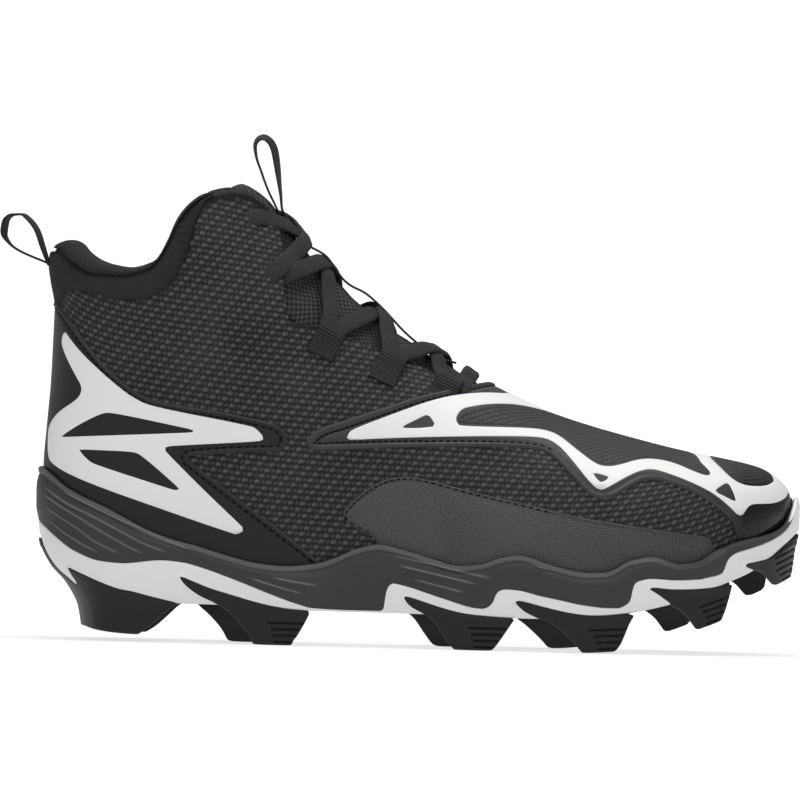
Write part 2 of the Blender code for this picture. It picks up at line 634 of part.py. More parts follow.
def crown_place(eyelet, side):
    """The ridge station and the distance across it of a point on one side."""
    best = None
    for k in range(400):
        x = RIDGE_FRONT + (RIDGE_TOP - RIDGE_FRONT) * k / 399
        base, normal = ridge_frame(x)
        off = abs((eyelet.x - base.x) * normal.z - (eyelet.z - base.z) * normal.x)
        if best is None or off < best[0]:
            best = (off, x)
    return LacePlace(best[1], side * half_width(eyelet.x, eyelet.z, side), eyelet.lift)


LACE_ROWS = [(crown_place(eyelet, LATERAL), crown_place(eyelet, MEDIAL)) for eyelet in LOOPS + EYELETS]


def build_tongue_strap():
    """One webbing: the pull loop over the tongue, then down its middle with a bridge over each crossing."""
    centres = [(a[0].x + b[0].x) / 2 for a, b in zip(LACE_ROWS[1:], LACE_ROWS[2:])]
    steps = 20
    down = []
    for k in range(steps + 1):
        x = STRAP_FROM + (STRAP_TO - STRAP_FROM) * k / steps
        base, normal = ridge_frame(x)
        bridge = max(1 - ((x - centre) / STRAP_SPAN) ** 4 for centre in centres)
        spot = base + normal * (STRAP_REST + STRAP_RISE * max(0.0, bridge))
        down.append(Height(spot.x, spot.z))
    strap = webbing_path(TONGUE_LOOP + down, 33)
    strap = [point + Vector((0.0, spine(point.x), 0.0)) for point in strap]
    across = Vector((0.0, 1.0, 0.0))
    finish_mesh(ribbon(strap, strap, STRAP_WIDTH, WEBBING, across), "tongue_strap", PARTS, WEBBING_CLOTH)


def lace_strand(start, end, raised):
    """One run of lace over the tongue, from one place to another."""
    path, normals = [], []
    for k in range(LACE_STEPS + 1):
        t = k / LACE_STEPS
        x = start.x + (end.x - start.x) * t
        across = start.across + (end.across - start.across) * t
        lift = start.lift + (end.lift - start.lift) * t + raised * math.sin(math.pi * t) ** 2
        path.append(crown_point(x, across, lift))
        normals.append((crown_point(x, across, lift + 1.0) - path[-1]).normalized())
    return ribbon(path, normals, LACE_WIDTH, LACE_THICK)


def build_laces():
    """A bar at the vamp, then a crossing between each pair of rows."""
    ends = [place._replace(x=place.x + LACE_BAR_AHEAD) for place in LACE_ROWS[0]]
    finish_mesh(lace_strand(*ends, 0.0), "lace_bar", PARTS, LACE_CLOTH)
    for k, (low, high) in enumerate(zip(LACE_ROWS, LACE_ROWS[1:]), 1):
        strands = []
        for side, raised in ((0, 0.0), (1, LACE_CROSS_LIFT)):
            start, end = low[side], high[1 - side]
            start = start._replace(x=start.x - LACE_OUT, across=start.across * LACE_TUCK)
            end = end._replace(x=end.x + LACE_IN)
            strands.append(lace_strand(start, end, raised))
        crossing = finish_mesh(strands[0], f"lace_cross_{k}", PARTS, LACE_CLOTH)
        boolean(crossing, "UNION", cutter(strands[1], f"lace_over_{k}"))


def build_lace_loops():
    """Short webbing tabs that hold the lace along the vamp."""
    steps = 4
    for side, word in ((LATERAL, "lateral"), (MEDIAL, "medial")):
        for number, eyelet in enumerate(LOOPS, 1):
            path, normals = [], []
            for k in range(steps + 1):
                x = eyelet.x - LOOP_BACK * (k + 1) / steps
                z = eyelet.z - LOOP_DOWN * (k + 1) / steps
                path.append(upper_point(x, z, side, eyelet.lift))
                normals.append(upper_normal(x, z, side))
            tab = ribbon(path, normals, LOOP_WIDTH, LOOP_THICK)
            finish_mesh(tab, f"lace_loop_{word}_{number}", PARTS, WEBBING_CLOTH)


# Sole

SOLE_STATIONS = (
    fan(HEEL_SOLE, 46.0, 1, 7) + WAIST_STATIONS + STEP_STATIONS + fan(TOE_SOLE, 24.0, -1, 7)[::-1]
)


def sole_half(x, side):
    ends = end_round(x - HEEL_SOLE, HEEL_ROUND) * end_round(TOE_SOLE - x, TOE_ROUND[side])
    return plan_half[side](x) * ends


def side_station(x, side):
    """Where a station of the lateral side stands on either side."""
    return x - medial_shift(x) if side == MEDIAL else x


def sole_point(x, z, side):
    """A point of the sole's side wall."""
    at = side_station(x, side)
    half = sole_half(at, side)
    back = (heel_wall(z) - HEEL_SOLE) * fade((at - HEEL_SOLE) / END_FADE)
    front = (toe_wall(z) - TOE_SOLE) * fade((TOE_SOLE - at) / END_FADE)
    draft = sole_draft(z - plate_bottom(x)) * min(1.0, half / 12.0)
    return Vector((at + back + front, spine(at) + side * (half - draft), z))


def sole_normal(x, side):
    """The outward direction of the sole's outline, seen from above."""
    at = side_station(x, side)
    if sole_half(at, side) < 1e-6:
        return Vector((-1.0 if at < 0 else 1.0, 0.0, 0.0))
    step = 0.4
    low, high = max(HEEL_SOLE, at - step), min(TOE_SOLE, at + step)
    rise = spine(high) + side * sole_half(high, side) - spine(low) - side * sole_half(low, side)
    return Vector((-side * rise, side * (high - low), 0.0)).normalized()


def upper_station(x):
    """The upper's station that stands inside a station of the sole."""
    back = (HEEL_UPPER - HEEL_SOLE) * fade((x - HEEL_SOLE) / END_FADE)
    front = (TOE_UPPER - TOE_SOLE) * fade((TOE_SOLE - x) / END_FADE)
    return x + back + front


def midsole_bottom(x):
    return plate_bottom(x) + PLATE + GAP


def sole_route():
    """Stations of the closed outline: out along the lateral side and home along the medial side."""
    lateral = [(x, LATERAL) for x in SOLE_STATIONS]
    medial = [(x, MEDIAL) for x in SOLE_STATIONS[-2:0:-1]]
    return lateral + medial


def ring_solid(profiles):
    """A body from one open profile at each station of the outline, closed across between the two sides."""
    bm = bmesh.new()
    columns = [[bm.verts.new(point) for point in profile] for profile in profiles]
    count = len(columns)
    for k in range(count):
        first, second = columns[k], columns[(k + 1) % count]
        for j in range(len(first) - 1):
            bm.faces.new((first[j], second[j], second[j + 1], first[j + 1]))
    last = len(SOLE_STATIONS) - 1
    for end in (0, -1):
        for k in range(last):
            corners = [columns[k], columns[k + 1], columns[-k - 1 if k + 1 < last else last], columns[-k]]
            ring = []
            for column in corners:
                if column[end] not in ring:
                    ring.append(column[end])
            bm.faces.new(ring)
    bmesh.ops.recalc_face_normals(bm, faces=bm.faces)
    return bm


def midsole_profile(x, side):
    """From the bottom, round the step under the rand, up the ribbed wall and over the rim to the footbed."""
    normal = sole_normal(x, side)
    at = side_station(x, side)
    seam, rim = rand_top(x), rim_top(at)
    inner = upper_station(at)
    inside = normal * -(RAND + GAP)
    points = [sole_point(x, midsole_bottom(x), side) + inside, sole_point(x, seam, side) + inside]
    rim_inner = upper_point(inner, rim, side) + normal * CUP_GAP
    rim_outer = rim_inner + normal * RIM_LIP
    rows = 2 * RIB_ROWS
    for k in range(rows + 1):
        v = k / rows
        z = seam + (rim - seam) * v
        wall = sole_point(x, z, side) + normal * rib_height(at) * (k % 2)
        share = ease((v - 0.5) / 0.5) ** 2
        point = wall.lerp(rim_outer, share)
        point.z = z
        points.append(point)
    low = upper_point(inner, feather(inner), side) + normal * CUP_GAP
    low.z = feather(inner) - GAP
    return points + [rim_inner, low]


def plate_profile(x, side):
    """From the rand's inner foot, over the rand and down its outside to the plate's bottom."""
    normal = sole_normal(x, side)
    top, bottom = rand_top(x) - GAP, plate_bottom(x)
    inside = normal * -RAND
    return [
        sole_point(x, midsole_bottom(x) - GAP, side) + inside,
        sole_point(x, top, side) + inside,
        sole_point(x, top, side),
        sole_point(x, bottom, side),
    ]


def build_sole():
    midsole = ring_solid([midsole_profile(x, side) for x, side in sole_route()])
    finish_mesh(midsole, "midsole", PARTS, FOAM)
    plate = ring_solid([plate_profile(x, side) for x, side in sole_route()])
    made = finish_mesh(plate, "outsole_plate", PARTS, WHITE_RUBBER)
    boolean(made, "DIFFERENCE", NOTCHES)


def build_insole():
    """A thin sheet inside the upper, on the floor of the midsole."""
    inset = UPPER_WALL + GAP + 1.2
    middle = (HEEL_UPPER + TOE_UPPER) / 2
    shrink = 1 - 2 * (inset + 0.4) / (TOE_UPPER - HEEL_UPPER)
    sections = []
    for station in SOLE_STATIONS[1:-1:2]:
        x = upper_station(station)
        at = middle + (x - middle) * shrink
        low = max(feather(at), feather(x)) - 0.1
        bottom, top = [], []
        for side in (LATERAL, MEDIAL):
            keep = 1 - inset / (plan_half[side](x) - UPPER_INSET)
            for row, rise in ((bottom, 0.0), (top, INSOLE)):
                half = half_width(x, feather(x) + rise, side) * keep
                row.append(Vector((at, spine(x) + side * half, low + rise)))
        sections.append(bottom + top[::-1])
    finish_mesh(loft(sections), "insole", PARTS, KNIT)


# Studs

def stud_slice(back, front, depth, side, proud, spans):
    """One level of a stud: points along its outer face and home along its inner face."""
    outer, inner = [], []
    for k in range(spans + 1):
        t = k / spans
        x = back.x + (front.x - back.x) * t
        normal = sole_normal(x, side)
        face = sole_point(x, back.z + (front.z - back.z) * t, side) + normal * proud
        outer.append(face)
        inner.append(face - normal * depth)
    return outer + inner[::-1]


def edge_at(edge, t):
    """A point along a bent edge of three points."""
    k, share = (0, 2 * t) if t < 0.5 else (1, 2 * t - 1)
    a, b = edge[k], edge[k + 1]
    return Height(a.x + (b.x - a.x) * share, a.z + (b.z - a.z) * share)


def stud_body(row, side):
    """The stud below the plate, with ribs across its outer face. It runs on up until the plate trims it."""
    back_edge = [
        Height(row.foot_back_x, row.foot_back_z),
        Height(row.mid_back_x, row.mid_back_z),
        Height(row.root_x, plate_bottom(row.root_x) + STUD_OVERLAP),
    ]
    front_edge = [
        Height(row.foot_front_x, row.foot_front_z),
        Height(row.mid_front_x, row.mid_front_z),
        Height(row.front_x, plate_bottom(row.front_x) + STUD_OVERLAP),
    ]
    sections = []
    for k in range(STUD_LEVELS):
        t = k / (STUD_LEVELS - 1)
        depth = STUD_DEPTH_FOOT + (STUD_DEPTH_ROOT - STUD_DEPTH_FOOT) * t
        proud = STUD_PROUD + RIB * (k % 2)
        back, front = edge_at(back_edge, t), edge_at(front_edge, t)
        sections.append(stud_slice(back, front, depth, side, proud, row.spans))
    return loft(sections)


def flame(row, side, grow, depth, proud):
    """The pointed top of a stud, which lies in a notch of the rand."""
    lip = Height(row.lip_x - grow, plate_bottom(row.lip_x) - GAP)
    front = Height(row.front_x + grow, plate_bottom(row.front_x) - GAP + 1.5 * grow)
    tip = Height(row.tip_x - 1.5 * grow, row.tip_z + grow)
    back = Height((lip.x + tip.x) / 2, (lip.z + tip.z) / 2)
    crest = Height(row.crest_x, row.crest_z + grow)
    sag = 0.0
    for k in range(row.spans + 1):
        spot = edge_at([lip, Height((lip.x + front.x) / 2, (lip.z + front.z) / 2), front], k / row.spans)
        sag = max(sag, spot.z - plate_bottom(spot.x))
    drop = STUD_OVERLAP + sag + NOTCH_DROP * grow
    levels = [
        (Height(lip.x, lip.z - drop), Height(front.x, front.z - drop)),
        (lip, front),
        (back, crest),
        (tip, Height(tip.x + 0.8 + grow, tip.z)),
    ]
    return loft([stud_slice(a, b, depth, side, proud, row.spans) for a, b in levels])


def build_plate_space():
    """All that lies above the plate's underside, out past the outline. It trims the studs."""
    top, reach = 80.0, 12.0
    profiles = []
    for x, side in sole_route():
        bottom = sole_point(x, plate_bottom(x), side) - Vector((0.0, 0.0, GAP))
        outer = bottom + sole_normal(x, side) * reach
        profiles.append([Vector((outer.x, outer.y, top)), outer, bottom])
    return cutter(ring_solid(profiles), "plate_space")


def build_studs():
    space = build_plate_space()
    for side, word in ((LATERAL, "lateral"), (MEDIAL, "medial")):
        for number, row in enumerate(STUDS, 1):
            stud = finish_mesh(stud_body(row, side), f"stud_{word}_{number}", PARTS, BLACK_RUBBER)
            boolean(stud, "DIFFERENCE", space)
            wing = flame(row, side, 0.0, RAND - 0.8 + STUD_PROUD, STUD_PROUD)
            boolean(stud, "UNION", cutter(wing, f"flame_{word}_{number}"))
            notch = cutter(flame(row, side, GAP, RAND + 8.0, 6.0), f"notch_{word}_{number}")
            CUTTERS.objects.unlink(notch)
            NOTCHES.objects.link(notch)


# Assembly

for old in list(bpy.data.objects):
    bpy.data.objects.remove(old)

PARTS = collection("moulded_cleat")
CUTTERS = collection("cutters")
NOTCHES = collection("rand_notches")
MESH_CLOTH = material("coarse_mesh", (0.020, 0.020, 0.021), 0.75)
SMOOTH_SKIN = material("smooth_skin", (0.018, 0.018, 0.019), 0.45)
FINE_SKIN = material("fine_skin", (0.022, 0.022, 0.023), 0.5)
KNIT = material("lining_knit", (0.014, 0.014, 0.015), 0.9)
WEBBING_CLOTH = material("webbing", (0.018, 0.018, 0.019), 0.8)
LACE_CLOTH = material("lace", (0.02, 0.02, 0.022), 0.85)
FOAM = material("midsole_foam", (0.045, 0.045, 0.048), 0.6)
WHITE_RUBBER = material("white_rubber", (0.75, 0.74, 0.76), 0.5)
BLACK_RUBBER = material("black_rubber", (0.02, 0.02, 0.021), 0.5)

build_studs()
build_sole()
build_upper()
build_overlays()
build_insole()
build_collar()
build_tongue()
build_heel_loop()
build_tongue_strap()
build_laces()
build_lace_loops()
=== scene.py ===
"""Looks of a moulded mid-cut cleat for the right foot, laid over its packed solids.

Toe along +X, lateral side along -Y, floor at Z = 0. Tables are in millimetres and meshes in metres.
"""

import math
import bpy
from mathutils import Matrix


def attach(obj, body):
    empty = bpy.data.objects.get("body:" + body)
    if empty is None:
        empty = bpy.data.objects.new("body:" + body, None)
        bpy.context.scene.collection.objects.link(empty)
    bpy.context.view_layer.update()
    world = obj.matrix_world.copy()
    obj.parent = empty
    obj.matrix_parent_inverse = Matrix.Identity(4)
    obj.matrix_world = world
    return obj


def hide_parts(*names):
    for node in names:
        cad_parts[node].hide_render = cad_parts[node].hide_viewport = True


bl_info = {
    "name": "Moulded cleat looks",
    "version": (1, 0, 0),
    "blender": (4, 5, 0),
    "location": "View3D > Sidebar > Cleat",
    "description": "Builds the cloth, skins, foam, rubber and stage of a moulded cleat around its frame",
    "category": "Object",
}

from collections import namedtuple

import bmesh
import bpy
import numpy as np
from mathutils import Vector
from mathutils.geometry import delaunay_2d_cdt

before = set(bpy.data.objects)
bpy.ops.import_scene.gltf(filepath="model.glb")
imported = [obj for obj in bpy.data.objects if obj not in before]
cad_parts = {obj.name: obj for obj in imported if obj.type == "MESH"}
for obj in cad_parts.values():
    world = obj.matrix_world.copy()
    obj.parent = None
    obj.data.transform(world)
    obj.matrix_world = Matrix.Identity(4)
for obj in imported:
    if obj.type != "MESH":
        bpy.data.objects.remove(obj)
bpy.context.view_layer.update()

MM = 0.001
LATERAL, MEDIAL = -1, 1
SIDES = ((LATERAL, "lateral"), (MEDIAL, "medial"))

# Driving sizes of the solids
HEEL_SOLE, TOE_SOLE = -141.2, 158.2
HEEL_UPPER, TOE_UPPER = -137.7, 154.4
UPPER_INSET, UPPER_WALL = 4.0, 2.0
RAND, CUP_GAP, PLATE, RIM_LIP = 1.6, 1.1, 1.6, 1.6
END_POWER, END_FADE = 2.2, 55.0
HEEL_ROUND = 38.0
TOE_ROUND = {LATERAL: 70.0, MEDIAL: 52.0}
TUCK, FLARE_FROM, FLARE_OVER = 0.07, 80.0, 70.0
VAMP_POINT = 40.0

# Plan of the sole: station, the spine's Y, half-widths to the lateral and the medial side
PLAN = [
    (-141.2, 0.0, 37.0, 36.0), (-100.0, 0.0, 38.0, 37.0), (-70.0, 0.0, 39.0, 36.5),
    (-40.0, 0.0, 40.0, 34.5), (-10.0, 0.5, 43.0, 34.5), (20.0, 1.5, 48.0, 38.0),
    (45.0, 2.5, 52.5, 42.5), (70.0, 4.0, 56.0, 46.0), (90.0, 5.5, 56.5, 46.5),
    (110.0, 7.0, 55.0, 45.5), (130.0, 8.5, 53.0, 44.0), (158.2, 10.0, 50.0, 42.0),
]
# Last: station, feather edge, widest line, fullness of the crown, flare at the ankle
LAST = [
    (-137.7, 47.0, 70.0, 2.0, 0.0), (-132.0, 41.0, 68.0, 2.0, 0.5), (-124.0, 36.5, 65.0, 2.0, 1.5),
    (-110.0, 32.5, 62.0, 2.0, 3.0), (-80.0, 28.0, 54.0, 2.0, 5.5), (-50.0, 24.8, 47.0, 1.9, 5.0),
    (-20.0, 23.2, 42.0, 1.85, 2.0), (20.0, 22.2, 39.0, 1.95, 0.0), (60.0, 21.5, 38.0, 2.15, 0.0),
    (90.0, 24.0, 40.0, 2.3, 0.0), (120.0, 31.0, 46.0, 2.5, 0.0), (140.0, 40.5, 52.0, 2.6, 0.0),
    (154.4, 50.0, 55.0, 2.6, 0.0),
]
# Heights along the shoe, as station and height
RIDGE = [
    (154.4, 59.0), (153.0, 63.5), (150.5, 66.8), (147.0, 69.6), (141.0, 72.6), (126.0, 75.9),
    (112.0, 78.3), (95.5, 82.0), (73.0, 87.8), (60.7, 91.7), (44.4, 98.8), (30.8, 105.7),
    (21.7, 110.5), (7.4, 118.0), (-13.0, 132.6), (-24.4, 142.5), (-34.0, 151.0), (-40.4, 158.6),
    (-47.3, 167.9), (-55.0, 178.0), (-65.0, 194.0), (-80.0, 222.0), (-100.0, 268.0),
    (-120.0, 322.0), (-137.7, 380.0),
]
THROAT_EDGE = [
    (-137.7, 128.0), (-134.5, 133.0), (-131.5, 137.0), (-121.0, 136.2), (-112.0, 133.8),
    (-102.0, 133.9), (-96.0, 136.0), (-90.0, 141.3), (-87.6, 144.0), (-84.0, 152.6), (-81.8, 162.3),
    (-78.5, 172.2), (-74.6, 175.1), (-67.6, 176.5), (-62.0, 175.8), (-55.0, 171.8), (-50.5, 167.0),
    (-47.6, 160.0), (-46.5, 148.0), (-45.0, 133.0), (-43.0, 126.3), (-35.0, 125.0), (-23.4, 122.0),
    (-12.3, 117.8), (1.5, 112.8), (10.7, 109.0), (21.5, 104.6), (31.0, 102.0), (36.0, 101.3),
    (40.0, 100.9),
]
COLLAR_TOP = [
    (-137.7, 155.2), (-134.5, 156.2), (-131.0, 155.3), (-127.0, 152.7), (-120.4, 149.0), (-114.7, 147.2),
    (-106.6, 146.2), (-96.8, 149.0), (-92.0, 156.8), (-88.2, 165.5), (-83.7, 171.5), (-78.0, 175.6),
    (-70.0, 177.4),
]
COLLAR_SEAM = [
    (-137.7, 152.5), (-133.4, 151.6), (-130.7, 148.7), (-126.7, 145.5), (-121.5, 143.0), (-109.7, 142.7),
    (-100.6, 144.8), (-96.8, 147.2), (-92.0, 155.0), (-88.2, 163.6), (-83.7, 169.8), (-78.0, 174.0),
    (-70.0, 176.4),
]
RIM_TOP = [
    (-141.2, 67.0), (-139.9, 66.7), (-137.9, 65.4), (-134.5, 62.9), (-130.5, 59.8), (-122.8, 55.8),
    (-114.2, 52.1), (-105.6, 47.8), (-96.9, 43.6), (-87.0, 40.2), (-77.1, 37.7), (-70.0, 35.6),
    (-53.0, 31.6), (-43.0, 30.8), (-31.0, 32.0), (-23.4, 34.4), (-14.5, 38.4), (-6.2, 40.1), (2.8, 38.4),
    (14.2, 35.3), (25.5, 32.7), (33.8, 33.5), (42.0, 36.4), (48.7, 37.3), (62.0, 33.6), (74.0, 31.3),
    (82.0, 31.6), (92.0, 36.6), (100.0, 38.0), (110.0, 35.4), (117.0, 36.4), (125.0, 41.0), (136.5, 45.2),
    (145.0, 47.0), (151.3, 49.6), (154.4, 52.5), (155.8, 55.6), (157.0, 57.6), (158.2, 58.6),
]
RAND_TOP = [
    (-141.2, 46.3), (-134.0, 40.0), (-127.0, 35.0), (-117.0, 31.5), (-107.0, 30.8), (-91.0, 32.3),
    (-83.0, 31.7), (-76.0, 30.0), (-64.0, 26.0), (-49.0, 20.4), (-38.9, 16.9), (-31.2, 15.0), (-17.0, 14.6),
    (-5.4, 14.6), (-4.1, 15.6), (-3.6, 19.2), (-3.1, 22.6), (-2.0, 24.8), (-0.6, 25.6), (2.3, 25.1),
    (19.0, 20.2), (31.5, 16.8), (34.4, 16.6), (37.0, 17.6), (38.6, 19.7), (39.6, 22.4), (40.9, 23.8),
    (43.2, 24.4), (47.5, 24.2), (57.1, 22.1), (65.1, 20.6), (73.4, 19.0), (83.0, 18.1), (87.0, 18.1),
    (90.2, 19.4), (92.0, 21.4), (92.7, 25.0), (93.6, 27.9), (95.6, 29.0), (100.4, 29.9), (105.2, 29.7),
    (109.2, 29.5), (119.9, 30.1), (121.9, 30.6), (126.2, 31.6), (128.3, 32.5), (129.3, 34.4), (129.9, 36.5),
    (130.9, 38.3), (133.6, 40.4), (138.7, 42.1), (145.0, 44.4), (151.3, 48.2), (154.2, 51.6), (155.4, 55.0),
    (156.2, 57.6), (157.2, 60.4), (158.2, 62.4),
]
PLATE_BOTTOM = [
    (-141.2, 41.0), (-140.3, 38.4), (-139.4, 31.0), (-137.9, 25.8), (-134.3, 21.1), (-124.0, 19.2),
    (-110.0, 18.0), (-86.7, 15.4), (-69.4, 15.2), (-34.0, 13.7), (12.0, 13.6), (30.0, 13.3), (45.0, 12.9),
    (57.5, 13.0), (77.6, 14.2), (89.7, 15.6), (107.6, 19.6), (120.0, 23.6), (129.4, 27.8), (141.3, 33.2),
    (149.0, 39.0), (153.0, 43.2), (158.2, 49.0),
]
# Ends of the upper and the sole, as station and height
HEEL_LINE = [
    (-136.5, 30.0), (-137.4, 50.0), (-137.7, 67.0), (-136.7, 84.0), (-135.6, 100.0), (-135.1, 116.0),
    (-134.8, 130.0), (-136.6, 140.0), (-137.5, 147.0), (-137.0, 151.0), (-135.4, 155.0), (-135.0, 158.0),
]
HEEL_WALL = [
    (-121.3, 0.0), (-123.6, 13.0), (-128.5, 22.0), (-134.8, 29.0), (-139.1, 38.0), (-140.0, 46.0),
    (-141.1, 52.0), (-141.2, 60.0), (-139.8, 68.0),
]
TOE_WALL = [(154.6, 20.0), (155.4, 32.0), (156.2, 40.0), (158.2, 49.0), (158.2, 58.0), (155.8, 66.0)]
# Inset of the sole's wall and the height over the plate's bottom
SOLE_DRAFT = [(5.5, -26.0), (2.4, 0.0), (0.9, 4.0), (0.0, 10.0)]
# How far the medial side's steps and waves stand behind the lateral side's, by station
MEDIAL_SHIFT = [
    (-141.2, 0.0), (-115.0, 0.0), (-75.0, 8.0), (-40.0, 9.0), (20.0, 8.5), (80.0, 9.0), (115.0, 6.0),
    (140.0, 4.0), (158.2, 0.0),
]


# Curves through the tables

def curve(rows, key=0, value=1):
    """A smooth function through two columns of a table that never overshoots them."""
    xs, ys = np.array(sorted((row[key], row[value]) for row in rows), float).T
    step = np.diff(xs)
    slope = np.diff(ys) / step
    product, total = slope[:-1] * slope[1:], slope[:-1] + slope[1:]
    inner = np.where(product > 0, 2 * product / np.where(total == 0, 1.0, total), 0.0)
    lean = np.concatenate([slope[:1], inner, slope[-1:]])

    def at(x):
        x = np.clip(x, xs[0], xs[-1])
        k = np.clip(np.searchsorted(xs, x, side="right") - 1, 0, len(step) - 1)
        t = (x - xs[k]) / step[k]
        rise = ys[k] * (1 + 2 * t) * (1 - t) ** 2 + ys[k + 1] * t * t * (3 - 2 * t)
        return rise + (lean[k] * t * (1 - t) ** 2 - lean[k + 1] * t * t * (1 - t)) * step[k]

    return at


spine, plan_lateral, plan_medial = (curve(PLAN, 0, k) for k in (1, 2, 3))
feather, widest, fullness, flare = (curve(LAST, 0, k) for k in (1, 2, 3, 4))
ridge, throat_edge, collar_top, collar_seam = map(curve, (RIDGE, THROAT_EDGE, COLLAR_TOP, COLLAR_SEAM))
rim_top, rand_top, plate_bottom = map(curve, (RIM_TOP, RAND_TOP, PLATE_BOTTOM))
heel_line, heel_wall, toe_wall = (curve(rows, 1, 0) for rows in (HEEL_LINE, HEEL_WALL, TOE_WALL))
sole_draft, medial_shift = curve(SOLE_DRAFT, 1, 0), curve(MEDIAL_SHIFT)


def ease(t):
    t = np.clip(t, 0.0, 1.0)
    return t * t * (3 - 2 * t)


def fade(t):
    return np.clip(1.0 - np.maximum(t, 0.0), 0.0, 1.0) ** 2


def end_round(distance, length):
    """Share of the half-width left at a distance from a rounded end of the plan."""
    t = np.clip(distance / length, 0.0, 1.0)
    return (1 - (1 - t) ** END_POWER) ** (1 / END_POWER)


def by_side(side, lateral, medial):
    return np.where(np.asarray(side) < 0, lateral, medial)


def plan_half(x, side):
    """Half-width of the sole's plan, before its ends are rounded."""
    return by_side(side, plan_lateral(x), plan_medial(x))


def plan_ends(x, side, heel, toe):
    """Share of the half-width left at a station of a plan between two rounded ends."""
    toe_round = by_side(side, TOE_ROUND[LATERAL], TOE_ROUND[MEDIAL])
    return end_round(x - heel, HEEL_ROUND) * end_round(toe - x, toe_round)


def unit(vectors):
    return vectors / np.maximum(np.linalg.norm(vectors, axis=-1, keepdims=True), 1e-12)


def stacked(*parts):
    """Coordinates of different shapes put together as points."""
    return np.stack(np.broadcast_arrays(*parts), -1)


def run_along(path):
    """Length along a path to each of its points."""
    return np.concatenate([[0.0], np.cumsum(np.linalg.norm(np.diff(path, axis=0), axis=1))])


def run_over(across, along):
    """Length along a line to each of its points, from their two coordinates."""
    return np.concatenate([[0.0], np.cumsum(np.hypot(np.diff(across), np.diff(along)))])


def halved(low, high, short, rounds):
    """Ends of the interval in which a value turns from short to long, halved again and again."""
    for _ in range(rounds):
        middle = (low + high) / 2
        under = short(middle)
        low, high = np.where(under, middle, low), np.where(under, high, middle)
    return low, high


def even_ends(low, high, count):
    """Values from low to high that crowd towards both ends."""
    t = np.linspace(0, 1, count)
    return low + (high - low) * (1 - np.cos(np.pi * t)) / 2


# The last: the upper's outer surface

# Soft creases of the upper: two ends in the side view, half-breadth and depth
CREASES = [
    (-74.0, 118.0, -46.0, 106.0, 7.0, 0.9), (-80.0, 102.0, -40.0, 93.0, 8.0, 0.7),
    (-118.0, 128.0, -92.0, 119.0, 6.0, 0.6), (-34.0, 66.0, -6.0, 74.0, 7.0, 0.6),
    (24.0, 74.0, 58.0, 70.0, 6.0, 0.5),
]


def creases(x, z):
    """Depth of the soft troughs that wear leaves in the cloth, with a low ridge along either side."""
    sink = np.zeros(np.broadcast(x, z).shape)
    for x0, z0, x1, z1, breadth, depth in CREASES:
        run = np.array([x1 - x0, z1 - z0])
        t = np.clip(((x - x0) * run[0] + (z - z0) * run[1]) / (run @ run), 0, 1)
        away = np.hypot(x - x0 - t * run[0], z - z0 - t * run[1]) / breadth
        ends = ease(4 * t) * ease(4 * (1 - t))
        sink -= depth * ends * (1 - 1.6 * away ** 2) * np.exp(-1.5 * away ** 2)
    return sink


def half_width(x, z, side):
    """Half-width of the upper, from its spine, at a station and height."""
    ends = plan_ends(x, side, HEEL_UPPER, TOE_UPPER)
    full = plan_half(x, side) - UPPER_INSET
    full = full + flare(x) * ease((z - FLARE_FROM) / FLARE_OVER)
    low, wide, high, power = feather(x), widest(x), ridge(x), fullness(x)
    below = 1 - TUCK * (np.maximum(wide - z, 0.0) / (wide - low)) ** 2
    rise = np.clip((z - wide) / (high - wide), 0.0, 1.0)
    above = (1 - rise ** power) ** (1 / power)
    return full * ends * np.where(z <= wide, below, above)


def upper_normal(x, z, side):
    """The upper's outward direction at a station and height."""
    step = 0.3
    along = (half_width(x + step, z, side) - half_width(x - step, z, side)) / (2 * step)
    up = (half_width(x, z + step, side) - half_width(x, z - step, side)) / (2 * step)
    turn = (spine(x + step) - spine(x - step)) / (2 * step)
    off_spine = half_width(x, z, side) > 1e-6
    across = np.where(off_spine, side, 0.0)
    return unit(stacked(-along - across * turn, across, -up))


def heel_shift(x, z):
    """How far the heel's line moves a station at a height."""
    return (heel_line(z) - HEEL_UPPER) * fade((x - HEEL_UPPER) / END_FADE)


def upper_point(x, z, side, offset=0.0):
    """Points of the upper's outer surface, moved out along its normal."""
    x, z, side, offset = np.broadcast_arrays(*(np.asarray(v, float) for v in (x, z, side, offset)))
    point = np.stack([x + heel_shift(x, z), spine(x) + side * half_width(x, z, side), z], -1)
    return point + upper_normal(x, z, side) * (offset + creases(x, z))[..., None]


def plan_run():
    """Stations from heel to toe and the run along the outline to each."""
    x = even_ends(HEEL_UPPER, TOE_UPPER, 4000)
    half = (half_width(x, widest(x), LATERAL) + half_width(x, widest(x), MEDIAL)) / 2
    return x, run_over(x, half)


PLAN_X, PLAN_RUN = plan_run()


def station_of(run):
    return np.interp(run, PLAN_RUN, PLAN_X)


def run_of(x):
    return np.interp(x, PLAN_X, PLAN_RUN)


def girth_line(x, side, top):
    """Heights up one side of a station, crowded towards the top, and the girth to each."""
    t = np.linspace(0, 1, 260)
    z = feather(x) + (top - feather(x)) * (1 - (1 - t) ** 2)
    return z, run_over(half_width(x, z, side), z)


# Flat maps of the upper, on which its skins are cut

